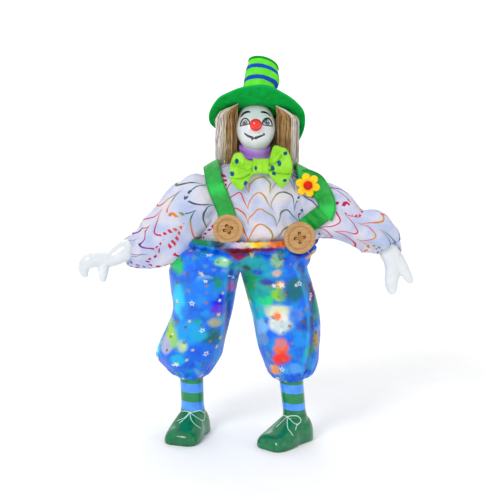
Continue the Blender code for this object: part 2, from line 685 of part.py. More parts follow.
def trouser_grid(side, half_width_column, leg_rows, ankle, sock_top):
    """All rows of one leg from the recess in the waist, over the rim, down to the cuff and up its socket."""
    rim = TROUSER_WAIST_ROWS[0]

    def waist(row, shrink=0.0, drop=0.0, pleat=0.0):
        return trouser_row(
            side, row[0] - drop, row[1], 0.0, row[2], row[3] - shrink, row[half_width_column] - shrink, pleat
        )

    rows = [waist(rim, WAISTBAND_WALL, WAIST_RECESS), waist(rim, WAISTBAND_WALL)]
    rows += [waist(row, pleat=0.012 if 0 < k < 5 else 0.0) for k, row in enumerate(TROUSER_WAIST_ROWS)]
    crotch = TROUSER_WAIST_ROWS[-1]
    below = [(crotch[0], 0.0, crotch[2], crotch[3], crotch[half_width_column]), *leg_rows]
    fine = smooth_rows(below, 12)[1:]
    for k, (height, inner, depth_centre, half_depth, half_width) in enumerate(fine):
        pleat = TROUSER_PLEAT_DEPTH * ((k + 1) / len(fine)) ** 2 if k < len(fine) - 1 else 0.0
        rows.append(trouser_row(side, height, 1.0, inner, depth_centre, half_depth, half_width, pleat))
    opening = SOCK_TOP_RADIUS + GAP + 0.0001
    for level in (fine[-1][0], sock_top[2] + GAP):
        ring = sock_ring(ankle, sock_top, level, opening, TROUSER_STEPS)
        ring = np.vstack([ring, ring[:1]])
        if side < 0:
            middle = (ring[0, 0] + ring[TROUSER_STEPS // 2, 0]) / 2
            ring[:, 0] = 2 * middle - ring[:, 0]
        rows.append(ring)
    return rows


def make_trousers():
    """Two legs that share a seam above the crotch, a recess for the shirt and a socket at each cuff."""
    points, faces, floor = [], [], []
    for side, column, leg_rows, ankle, sock_top in (
        (-1, 4, RIGHT_TROUSER_ROWS, RIGHT_ANKLE, RIGHT_SOCK_TOP),
        (1, 5, LEFT_TROUSER_ROWS, LEFT_ANKLE, LEFT_SOCK_TOP),
    ):
        rows = trouser_grid(side, column, leg_rows, ankle, sock_top)
        first, width = len(points), TROUSER_STEPS + 1
        points += [tuple(p) for row in rows for p in row]
        for r in range(len(rows) - 1):
            for k in range(TROUSER_STEPS):
                a = first + r * width + k
                faces.append((a, a + 1, a + 1 + width, a + width))
        last = first + (len(rows) - 1) * width
        faces.append(tuple(range(last, last + TROUSER_STEPS)))
        floor.append(list(range(first, first + width)))
    faces.append(tuple(floor[0] + floor[1][-2:0:-1]))
    blue = material("printed_satin", (0.05, 0.30, 0.75), 0.4)
    # the two ends of the floor's outline are one point each on the seam, so the mesh is welded as it is made
    return welded_trousers(points, faces, blue)


def welded_trousers(points, faces, finish):
    """Merges the seam's double points before the floor's face is laid."""
    index, unique, remap = {}, [], []
    for p in points:
        key = tuple(round(c, 7) for c in p)
        if key not in index:
            index[key] = len(unique)
            unique.append(p)
        remap.append(index[key])
    cleaned = []
    for face in faces:
        ids = []
        for k in face:
            if remap[k] not in ids:
                ids.append(remap[k])
        if len(ids) > 2:
            cleaned.append(tuple(ids))
    return solid("trousers", unique, cleaned, finish)


def make_shirt(trousers, head):
    """Body and sleeves sewn as one garment, cut clear of the trousers, the neck and the forearms."""
    cotton = material("printed_cotton", (0.75, 0.78, 0.88), 0.8)
    fine = smooth_rows(SHIRT_ROWS, 11)
    turn = np.linspace(0, 2 * math.pi, TORSO_SIDES, endpoint=False)
    rings = [
        np.column_stack([cx + hw * np.cos(turn), cy + hd * np.sin(turn), np.full(TORSO_SIDES, z)])
        for z, cx, cy, hw, hd in fine
    ]
    shirt = solid("shirt", *loft(rings), cotton)
    for name, rows in (("right", RIGHT_SLEEVE_ROWS), ("left", LEFT_SLEEVE_ROWS)):
        sleeve = tube(
            f"{name}_sleeve_join",
            rows,
            9,
            SLEEVE_SIDES,
            None,
            folds=SLEEVE_FOLDS,
            fold_depth=SLEEVE_FOLD_DEPTH,
        )
        boolean(shirt, sleeve, "UNION")
    for other in (trousers, head):
        boolean(shirt, clearance(other), "DIFFERENCE")
    return shirt


def brace_stations(front, back, axis):
    """Rough places and outward directions along a brace: chest, over the shoulder, back."""
    stations = [((x, axis[0], z), (0, -1, 0)) for x, z in smooth_rows(front, BRACE_FRONT_STEPS)]
    lift = axis[1]
    for share in np.linspace(0, 1, BRACE_SHOULDER_STEPS):
        lean = math.radians(20 + 140 * share)
        x = front[-1][0] * (1 - share) + back[0][0] * share
        stations.append(((x, axis[0], lift), (0, -math.cos(lean), math.sin(lean))))
    stations += [((x, axis[0], z), (0, 1, 0)) for x, z in smooth_rows(back, BRACE_BACK_STEPS)]
    return stations


def make_brace(name, front, back, axis, tree):
    """A ribbon laid on the shirt, its middle and both edges resting on the cloth."""
    stand_off = GAP + 0.0002
    places, outwards = [], []
    for place, outward in brace_stations(front, back, axis):
        place, outward = Vector(place), Vector(outward)
        hit = tree.ray_cast(place + 0.06 * outward, -outward)[0]
        places.append(hit if hit is not None else place)
        outwards.append(outward)
    finer = BRACE_SUBSTEPS * (len(places) - 1) + 1
    centres = smooth_rows([tuple(p) for p in places], finer)
    normals = smooth_rows([tuple(o) for o in outwards], finer)
    heading = np.gradient(centres, axis=0)
    sides = (-1, -0.5, 0, 0.5, 1)
    edges, heights = [], np.zeros((finer, len(sides)))
    for k in range(finer):
        outward = Vector(normals[k]).normalized()
        edge = Vector(heading[k]).cross(outward).normalized() * (BRACE_WIDTH / 2)
        edges.append((edge, outward))
        for column, side in enumerate(sides):
            point = Vector(centres[k]) + side * edge
            hit = tree.ray_cast(point + 0.03 * outward, -outward)[0]
            heights[k, column] = 0.0 if hit is None else (hit - point).dot(outward)
    heights = np.maximum(heights, -BRACE_SAG)
    heights += BRACE_SHOULDER_RISE * np.clip(normals[:, 2:], 0, 1)
    rings = []
    for k in range(0, finer, BRACE_SUBSTEPS):
        edge, outward = edges[k]
        near = heights[max(0, k - BRACE_SUBSTEPS) : k + BRACE_SUBSTEPS + 1].max(0)
        ring = []
        for side, reach in ((-1, near[:2]), (0, near[1:4]), (1, near[3:])):
            ring.append(Vector(centres[k]) + side * edge + outward * (reach.max() + stand_off))
        rings.append(ring + [p + outward * RIBBON_THICKNESS for p in ring[::-1]])
    satin = material("green_satin", (0.0, 0.42, 0.10), 0.3)
    return solid(name, *loft(rings), satin, sharp_degrees=60)


def make_button(name, centre, radius, turn_degrees, tree):
    """A wooden disc with a raised rim and four holes, and the crossed thread that holds it."""
    turn = Matrix.Rotation(math.radians(turn_degrees), 3, "Z")
    depth = 0.0
    for reach in (0.0, 0.35 * radius, 0.7 * radius, 0.9 * radius, radius):
        for angle in np.linspace(0, 2 * math.pi, 16, endpoint=False):
            offset = turn @ Vector((reach * math.cos(angle), 0, reach * math.sin(angle)))
            start = Vector((centre[0] + offset.x, -0.1, centre[1] + offset.z))
            hit = tree.ray_cast(start, Vector((0, 1, 0)))[0]
            if hit is not None:
                depth = min(depth, hit.y - offset.y)
    place = (centre[0], depth - GAP, centre[1])
    sides = BUTTON_SIDES
    around = np.linspace(0, 2 * math.pi, sides, endpoint=False)

    def ring(r, level):
        return np.column_stack([r * np.cos(around), np.full(sides, -level), r * np.sin(around)])

    inner = radius - BUTTON_RIM_WIDTH
    rings = [
        ring(0.96 * radius, 0),
        ring(radius, 0.4 * BUTTON_THICKNESS),
        ring(0.95 * radius, BUTTON_THICKNESS),
        ring(inner + 0.0003, BUTTON_THICKNESS),
        ring(inner - 0.0003, BUTTON_THICKNESS - BUTTON_RIM_DEPTH),
    ]
    points, faces = loft(rings)
    wood = material("wood", (0.72, 0.50, 0.28), 0.6)
    button = solid(name, placed(points, turn, place), faces, wood)
    half = BUTTON_HOLE_SPACING / 2
    few = np.linspace(0, 2 * math.pi, 8, endpoint=False)
    holes = [(half * math.cos(a), half * math.sin(a)) for a in np.radians((20, 110, 200, 290))]
    for k, (x, z) in enumerate(holes):
        bore = [
            np.column_stack(
                [
                    x + BUTTON_HOLE_RADIUS * np.cos(few),
                    np.full(len(few), level),
                    z + BUTTON_HOLE_RADIUS * np.sin(few),
                ]
            )
            for level in (0.001, -2 * BUTTON_THICKNESS)
        ]
        points, faces = loft(bore)
        boolean(button, solid(f"{name}_bore_{k}", placed(points, turn, place), faces, None), "DIFFERENCE")
    face_level = BUTTON_THICKNESS - BUTTON_RIM_DEPTH
    thread = None
    for k in (0, 1):
        (x0, z0), (x1, z1) = holes[k], holes[k + 2]
        over = face_level + GAP + THREAD_RADIUS
        rows = [
            (x0, -0.35 * BUTTON_THICKNESS, z0),
            (x0, -face_level, z0),
            (0.6 * x0, -over, 0.6 * z0),
            (0.6 * x1, -over, 0.6 * z1),
            (x1, -face_level, z1),
            (x1, -0.35 * BUTTON_THICKNESS, z1),
        ]
        rows = placed(rows, turn, place)
        strand = thread_strand(f"{name}_thread" if k == 0 else f"{name}_thread_join", rows)
        thread = strand if k == 0 else boolean(thread, strand, "UNION")
    return button, thread


def thread_strand(name, rows):
    """A fine five-sided strand through the rows."""
    path = np.array([tuple(row) for row in rows])
    heading = np.gradient(path, axis=0)
    heading /= np.linalg.norm(heading, axis=1)[:, None]
    flat = np.cross(path[-1] - path[0], (0.0, 1.0, 0.0))
    flat /= np.linalg.norm(flat)
    turn = np.linspace(0, 2 * math.pi, 5, endpoint=False)
    rings = []
    for point, ahead in zip(path, heading):
        upward = np.cross(flat, ahead)
        upward /= np.linalg.norm(upward)
        rings.append(point + THREAD_RADIUS * (np.outer(np.cos(turn), flat) + np.outer(np.sin(turn), upward)))
    linen = material("thread", (0.62, 0.38, 0.08), 0.8)
    return solid(name, *loft(rings), linen)


def make_bow():
    """The gathered strip, wide at both ends and narrow under its band, and the band."""
    lime = material("lime_cotton", (0.40, 0.85, 0.08), 0.85)
    turn = np.linspace(0, 2 * math.pi, BOW_SIDES, endpoint=False)
    rings = []
    for across, up, half_height, half_depth in smooth_rows(BOW_ROWS, 16):
        wave = 1 + 0.28 * np.cos(3 * turn + 90 * across)
        z = up + half_height * np.sin(turn)
        y = half_depth * np.cos(turn) * wave + BOW_SLANT * z
        rings.append(np.array(BOW_CENTRE) + np.column_stack([np.full(BOW_SIDES, across), y, z]))
    strip = solid("bow_tie", *loft(rings), lime)
    inner = []
    for shrink in (0.0, KNOT_THICKNESS):
        half_h, half_d = KNOT_HALF_HEIGHT - shrink, KNOT_HALF_DEPTH - shrink
        for end in (-1, 1) if shrink == 0 else (1, -1):
            z = half_h * np.sin(turn)
            ring = np.column_stack(
                [np.full(BOW_SIDES, end * KNOT_LENGTH / 2), half_d * np.cos(turn) + BOW_SLANT * z, z]
            )
            inner.append(np.array(BOW_CENTRE) + ring)
    points, faces = closed_sleeve(inner)
    return strip, solid("bow_knot", points, faces, lime)


def make_flower(tree):
    """Six round petals in one disc and a domed eye, set on the brace."""
    steps = PETAL_COUNT * 6
    around = np.linspace(0, 2 * math.pi, steps, endpoint=False)
    lobe = np.abs(np.cos(PETAL_COUNT * around / 2)) ** 0.55
    outline = FLOWER_RADIUS * (0.56 + 0.44 * lobe)
    depth = 0.0
    for scale in (0.25, 0.55, 0.80, 1.0):
        for x, z in zip(scale * outline * np.cos(around), scale * outline * np.sin(around)):
            start = Vector((FLOWER_CENTRE[0] + x, -0.1, FLOWER_CENTRE[1] + z))
            hit = tree.ray_cast(start, Vector((0, 1, 0)))[0]
            if hit is not None:
                depth = min(depth, hit.y)
    back = depth - GAP

    def ring(scale, level):
        return np.column_stack(
            [
                FLOWER_CENTRE[0] + scale * outline * np.cos(around),
                np.full(steps, back - level),
                FLOWER_CENTRE[1] + scale * outline * np.sin(around),
            ]
        )

    rings = [
        ring(0.90, 0),
        ring(1.0, 0.45 * PETAL_THICKNESS),
        ring(0.88, PETAL_THICKNESS),
        ring(0.30, 0.7 * PETAL_THICKNESS),
    ]
    yellow = material("yellow_petal", (0.95, 0.62, 0.01), 0.5)
    petals = solid("flower_petals", *loft(rings), yellow)
    eye_base = back - PETAL_THICKNESS - GAP
    dome = []
    few = np.linspace(0, 2 * math.pi, 14, endpoint=False)
    for latitude in np.radians((0, 35, 65)):
        r = FLOWER_EYE_RADIUS * math.cos(latitude)
        level = 0.5 * FLOWER_EYE_RADIUS * math.sin(latitude)
        dome.append(
            np.column_stack(
                [
                    FLOWER_CENTRE[0] + r * np.cos(few),
                    np.full(14, eye_base - level),
                    FLOWER_CENTRE[1] + r * np.sin(few),
                ]
            )
        )
    red = material("red_eye", (0.85, 0.03, 0.01), 0.4)
    return petals, solid("flower_eye", *loft(dome), red)


def centre_on_floor():
    """Moves every object so that the floor under the middle of the doll's box is the origin."""
    low, high = np.full(3, 1e9), np.full(3, -1e9)
    for obj in bpy.data.objects:
        if obj.hide_render:
            continue
        points = np.array([tuple(p) for p in shown_mesh(obj)[0]])
        low, high = np.minimum(low, points.min(0)), np.maximum(high, points.max(0))
    shift = Vector((-(low[0] + high[0]) / 2, -(low[1] + high[1]) / 2, -low[2]))
    for obj in bpy.data.objects:
        obj.location += shift


def main():
    for obj in list(bpy.data.objects):
        bpy.data.objects.remove(obj)
    head = make_head()
    brim, crown, tip = make_hat()
    trousers = make_trousers()
    shirt = make_shirt(trousers, head)
    collar = make_collar(head)
    for name, forearm, thumb in (
        ("right_arm", RIGHT_FOREARM_ROWS, RIGHT_THUMB_ROWS),
        ("left_arm", LEFT_FOREARM_ROWS, LEFT_THUMB_ROWS),
    ):
        arm = make_arm(name, forearm, thumb)
        boolean(shirt, clearance(arm), "DIFFERENCE")
    make_leg("right_leg", RIGHT_ANKLE, RIGHT_SOCK_TOP, RIGHT_SHOE_TURN)
    make_leg("left_leg", LEFT_ANKLE, LEFT_SOCK_TOP, LEFT_SHOE_TURN)
    shirt_tree = surface_tree(shirt)
    right_path = (RIGHT_BRACE_FRONT, RIGHT_BRACE_BACK, RIGHT_BRACE_AXIS)
    right_brace = make_brace("right_brace", *right_path, shirt_tree)
    left_path = (LEFT_BRACE_FRONT, LEFT_BRACE_BACK, LEFT_BRACE_AXIS)
    left_brace = make_brace("left_brace", *left_path, shirt_tree)
    front_tree = surface_tree(shirt, right_brace, left_brace)
    make_button("right_button", RIGHT_BUTTON, RIGHT_BUTTON_RADIUS, 0.0, front_tree)
    front_tree = surface_tree(shirt, left_brace, trousers)
    make_button("left_button", LEFT_BUTTON, LEFT_BUTTON_RADIUS, LEFT_BUTTON_TURN, front_tree)
    make_flower(surface_tree(shirt, left_brace))
    make_bow()
    near = [clearance(obj) for obj in (head, shirt, right_brace, left_brace)]
    make_hair((hat_shadow(), *near), surface_tree(shirt, right_brace, left_brace))
    centre_on_floor()


main()
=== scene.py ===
import math

import bpy
import numpy as np
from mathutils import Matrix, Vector
from mathutils.bvhtree import BVHTree


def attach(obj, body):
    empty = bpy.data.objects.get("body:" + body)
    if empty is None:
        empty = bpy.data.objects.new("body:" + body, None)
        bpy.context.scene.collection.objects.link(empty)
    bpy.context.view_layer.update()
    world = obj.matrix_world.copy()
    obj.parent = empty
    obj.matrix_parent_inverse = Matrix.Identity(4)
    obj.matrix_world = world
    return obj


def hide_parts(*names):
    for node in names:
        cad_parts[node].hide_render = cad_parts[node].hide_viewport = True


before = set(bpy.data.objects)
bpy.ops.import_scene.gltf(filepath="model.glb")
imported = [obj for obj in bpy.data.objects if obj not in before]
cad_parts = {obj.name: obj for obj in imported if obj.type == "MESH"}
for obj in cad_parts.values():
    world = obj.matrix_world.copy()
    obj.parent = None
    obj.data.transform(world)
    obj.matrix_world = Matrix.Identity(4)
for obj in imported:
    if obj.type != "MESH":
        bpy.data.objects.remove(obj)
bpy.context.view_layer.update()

# Shapes are worked out in millimetres, in the doll's own layout, and moved by dollShift to the frame
mm = 0.001
dollShift = np.array((1.46014, -0.95337, 0.0))
rng = np.random.default_rng(7)


# Camera and light
view = {
    "target": (0.0, 0.0, 79.9),
    "elevation": 14.0,
    "distance": 750.0,
    "lens": 131.7,
    "sensor": 36.0,
}
lamps = {
    # place and size in metres, power in watts, what it aims at
    "key": ((-0.55, -0.75, 0.85), 0.40, 4.6, (0.0, 0.0, 0.08)),
    "fill": ((0.85, -0.55, 0.45), 0.60, 0.6, (0.0, 0.0, 0.08)),
    "front": ((0.05, -1.10, 0.30), 0.50, 0.3, (0.0, 0.0, 0.08)),
    "top": ((0.10, 0.30, 1.10), 0.80, 1.2, (0.0, 0.0, 0.08)),
    "back": ((-0.30, 0.95, 0.50), 0.60, 0.5, (0.0, 0.0, 0.08)),
    "far": ((0.00, 2.00, 1.30), 2.00, 22.0, (0.0, 2.4, 0.0)),
}
skyStrength = 0.76


def addObject(name, data):
    made = bpy.data.objects.new(name, data)
    bpy.context.scene.collection.objects.link(made)
    return made


def makeCamera():
    camera = bpy.data.cameras.new("camera")
    camera.lens = view["lens"]
    camera.sensor_width = view["sensor"]
    holder = addObject("camera", camera)
    rise = math.radians(view["elevation"])
    offset = np.array((0.0, -math.cos(rise), math.sin(rise))) * view["distance"]
    holder.location = (np.array(view["target"]) + dollShift + offset) * mm
    holder.rotation_euler = (math.pi / 2 - rise, 0.0, 0.0)
    bpy.context.scene.camera = holder


def makeLight(name, place, size, power, target):
    light = bpy.data.lights.new(name, "AREA")
    light.shape = "DISK"
    light.size = size
    light.energy = power
    holder = addObject(name, light)
    holder.location = place
    aim = Vector(target) - Vector(place)
    holder.rotation_euler = aim.to_track_quat("-Z", "Y").to_euler()


def makeStudio():
    for name, lamp in lamps.items():
        makeLight(name, *lamp)
    world = bpy.data.worlds.new("studio")
    world.use_nodes = True
    sky = world.node_tree.nodes["Background"]
    sky.inputs["Color"].default_value = (1.0, 1.0, 1.0, 1.0)
    sky.inputs["Strength"].default_value = skyStrength
    bpy.context.scene.world = world
    bpy.context.scene.view_settings.view_transform = "Standard"


makeCamera()
makeStudio()
print("camera and lights are up")


# Surfaces from grids

# Reads count rows along a smooth curve through the given rows
def curveRows(rows, count, closed=False):
    rows = np.asarray(rows, float)
    spans = len(rows) if closed else len(rows) - 1
    if closed:
        padded = rows[np.arange(-1, spans + 2) % spans]
    else:
        padded = np.vstack([2 * rows[0] - rows[1], rows, 2 * rows[-1] - rows[-2]])
    place = np.linspace(0, spans, count, endpoint=not closed)
    first = np.minimum(place.astype(int), spans - 1)
    share = (place - first)[:, None]
    p0, p1, p2, p3 = (padded[first + k] for k in range(4))
    return 0.5 * (
        2 * p1
        + (p2 - p0) * share
        + (2 * p0 - 5 * p1 + 4 * p2 - p3) * share**2
        + (3 * p1 - p0 - 3 * p2 + p3) * share**3
    )


# The angles of a full turn in equal steps
def fullTurn(count):
    return np.linspace(0, 2 * math.pi, count, endpoint=False)


def unit(vectors):
    return vectors / np.linalg.norm(vectors, axis=-1, keepdims=True)


# A smooth bell of height 1 over a middle
def hump(value, middle, width):
    return np.exp(-(((value - middle) / width) ** 2))


def limited(value):
    return np.clip(value, 0, 1)


# 0 to 1 with soft ends
def eased(share):
    return share**2 * (3 - 2 * share)


# How far along its line each point is
def runLength(points):
    return np.concatenate([[0], np.cumsum(np.linalg.norm(np.diff(points, axis=0), axis=1))])


def newSkin(points, quads, quadUv, fields):
    return {
        "points": points,
        "quads": quads,
        "quadUv": quadUv,
        "tris": np.zeros((0, 3), int),
        "triUv": np.zeros((0, 3, 2)),
        "fields": fields,
    }


# A grid of points becomes a skin of four-sided faces; wrap joins the last column to the first,
# wrapRows the last row to the first, and a cap closes an end row onto its middle
def gridSkin(grid, wrap=False, wrapRows=False, capStart=False, capEnd=False, uv=None, **fields):
    rows, columns = grid.shape[:2]
    row = np.arange(rows if wrapRows else rows - 1)[:, None]
    column = np.arange(columns if wrap else columns - 1)[None, :]
    below, beside = (row + 1) % rows, (column + 1) % columns
    corners = [
        row * columns + column, row * columns + beside, below * columns + beside, below * columns + column
    ]
    quads = np.stack(corners, -1).reshape(-1, 4)
    if uv is None:
        uv = np.zeros((rows + 1, columns + 1, 2))
    flat = [uv[row, column], uv[row, column + 1], uv[row + 1, column + 1], uv[row + 1, column]]
    fields = {key: np.asarray(value, float).reshape(rows * columns, -1) for key, value in fields.items()}
    skin = newSkin(grid.reshape(-1, 3).astype(float), quads, np.stack(flat, 2).reshape(-1, 4, 2), fields)
    for wanted, line in ((capStart, 0), (capEnd, rows - 1)):
        if wanted:
            ring = np.arange(columns) + line * columns
            pole = len(skin["points"])
            skin["points"] = np.vstack([skin["points"], skin["points"][ring].mean(0)])
            after = np.roll(ring, -1)
            fan = np.column_stack([ring, after, np.full(columns, pole)])
            if line:
                fan = fan[:, [1, 0, 2]]
            flatEnd = np.stack([uv[line, :columns]] * 3, 1)
            skin["tris"] = np.vstack([skin["tris"], fan[:, [1, 0, 2]]])
            skin["triUv"] = np.vstack([skin["triUv"], flatEnd])
            for key, value in skin["fields"].items():
                skin["fields"][key] = np.vstack([value, value[ring].mean(0)])
    return outward(skin)


def closedSkin(grid, **more):
    return gridSkin(grid, wrap=True, capStart=True, capEnd=True, **more)


def signedVolume(skin):
    p = skin["points"] - skin["points"].mean(0)
    total = 0.0
    for a, b, c in ((0, 1, 2), (0, 2, 3)):
        q = skin["quads"]
        total += np.einsum("ij,ij->i", p[q[:, a]], np.cross(p[q[:, b]], p[q[:, c]])).sum()
    t = skin["tris"]
    if len(t):
        total += np.einsum("ij,ij->i", p[t[:, 0]], np.cross(p[t[:, 1]], p[t[:, 2]])).sum()
    return total


def turnOver(skin):
    for faces in ("quads", "tris", "quadUv", "triUv"):
        skin[faces] = skin[faces][:, ::-1]
    return skin


def outward(skin):
    return turnOver(skin) if signedVolume(skin) < 0 else skin


def joinSkins(*skins):
    joined = {"fields": {}}
    start = np.cumsum([0] + [len(s["points"]) for s in skins])
    joined["points"] = np.vstack([s["points"] for s in skins])
    for faces in ("quads", "tris"):
        joined[faces] = np.vstack([s[faces] + first for s, first in zip(skins, start)])
    for flat in ("quadUv", "triUv"):
        joined[flat] = np.vstack([s[flat] for s in skins])
    for key in skins[0]["fields"]:
        joined["fields"][key] = np.vstack([s["fields"][key] for s in skins])
    return joined


# Points that lie together become one
def weldSkin(skin, near):
    key = np.round(skin["points"] / near).astype(np.int64)
    _, first, back = np.unique(key, axis=0, return_index=True, return_inverse=True)
    back = back.reshape(-1)
    skin["points"] = skin["points"][first]
    skin["quads"] = back[skin["quads"]]
    skin["tris"] = back[skin["tris"]]
    skin["fields"] = {key: value[first] for key, value in skin["fields"].items()}
    whole = skin["quads"]
    thin = (whole == np.roll(whole, 1, axis=1)).any(1)
    skin["quads"], skin["quadUv"] = whole[~thin], skin["quadUv"][~thin]
    return skin


# Turns an open skin so that its faces look away from its middle
def awayFromMiddle(skin):
    corners = skin["points"][skin["quads"]]
    normals = np.cross(corners[:, 2] - corners[:, 0], corners[:, 3] - corners[:, 1])
    if ((corners.mean(1) - skin["points"].mean(0)) * normals).sum() < 0:
        turnOver(skin)
    return skin


# Each open rim is closed by a fan of triangles onto its middle
def closeRims(skin):
    edges = set()
    for faces in (skin["quads"], skin["tris"]):
        for k in range(faces.shape[1]):
            edges.update(zip(faces[:, k].tolist(), np.roll(faces, -1, 1)[:, k].tolist()))
    following = {b: a for a, b in sorted(edges) if (b, a) not in edges}
    while following:
        rim = [next(iter(following))]
        while rim[-1] in following:
            rim.append(following.pop(rim[-1]))
        rim = np.array(rim[:-1])
        middle = np.full(len(rim), len(skin["points"]))
        skin["points"] = np.vstack([skin["points"], skin["points"][rim].mean(0)])
        skin["tris"] = np.vstack([skin["tris"], np.column_stack([rim, np.roll(rim, -1), middle])])
        skin["triUv"] = np.concatenate([skin["triUv"], np.zeros((len(rim), 3, 2))])
        for key, values in skin["fields"].items():
            skin["fields"][key] = np.vstack([values, values[rim].mean(0)])
    return skin


def skinMesh(name, skin, scale=mm, shift=dollShift):
    mesh = bpy.data.meshes.new(name)
    points = (skin["points"] + shift) * scale
    mesh.from_pydata(points.tolist(), [], skin["quads"].tolist() + skin["tris"].tolist())
    layer = mesh.uv_layers.new(name="UVMap")
    flat = np.concatenate([skin["quadUv"].reshape(-1), skin["triUv"].reshape(-1)])
    layer.data.foreach_set("uv", flat.astype(np.float32))
    for key, value in skin["fields"].items():
        if value.shape[1] == 3:
            data = mesh.attributes.new(key, "FLOAT_COLOR", "POINT")
            data.data.foreach_set(
                "color", np.column_stack([value, np.ones(len(value))]).astype(np.float32).ravel()
            )
        else:
            data = mesh.attributes.new(key, "FLOAT", "POINT")
            data.data.foreach_set("value", value.astype(np.float32).ravel())
    mesh.shade_smooth()
    mesh.update()
    return mesh


def makePiece(name, skin, finish, *replaced):
    mesh = skinMesh(name, skin)
    mesh.materials.append(finish)
    made = addObject(name, mesh)
    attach(made, "root")
    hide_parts(*replaced)
    return made


# Oval rings square to a path; a row is centre x, y, z, half depth and half height
def tubeGrid(rows, sides, swell=None):
    rows = np.asarray(rows, float)
    heading = np.gradient(rows[:, :3], axis=0)
    heading = unit(heading)
    across = np.cross(heading, np.cross((0.0, 1.0, 0.0), heading))
    across = unit(across)
    upward = np.cross(heading, across)
    turn = fullTurn(sides)
    reach = np.ones((len(rows), sides)) if swell is None else swell
    flat = np.cos(turn)[None, :, None] * across[:, None, :] * rows[:, 3, None, None]
    tall = np.sin(turn)[None, :, None] * upward[:, None, :] * rows[:, 4, None, None]
    return rows[:, None, :3] + (flat + tall) * reach[:, :, None]


# Smooth noise from a few sine waves, the same on each run
def waveNoise(points, size, seed, octaves=3):
    source = np.random.default_rng(seed)
    total = np.zeros(points.shape[:-1])
    strength = 1.0
    for _ in range(octaves):
        for _ in range(5):
            way = source.normal(size=points.shape[-1])
            way *= 2 * math.pi / (size * np.linalg.norm(way))
            total += strength * np.sin(points @ way + source.uniform(0, 2 * math.pi)) / 3
        size *= 0.52
        strength *= 0.55
    return total


# Distance to a brush stroke whose half width changes along it, less than 0 inside
def strokeDistance(x, z, stroke, widths, steps=28):
    path = curveRows(np.column_stack([np.asarray(stroke, float), widths]), steps)
    best = np.full(len(x), 1e3)
    for start, end in zip(path[:-1], path[1:]):
        way = end[:2] - start[:2]
        length = max(way @ way, 1e-9)
        share = limited(((x - start[0]) * way[0] + (z - start[1]) * way[1]) / length)
        gap = np.hypot(x - start[0] - share * way[0], z - start[1] - share * way[1])
        best = np.minimum(best, gap - (start[2] + share * (end[2] - start[2])))
    return best


# Screen colours 0-255 to the linear values that shaders take
def shade(red, green, blue):
    parts = [c / 255 for c in (red, green, blue)]
    return tuple(c / 12.92 if c < 0.04045 else ((c + 0.055) / 1.055) ** 2.4 for c in parts)


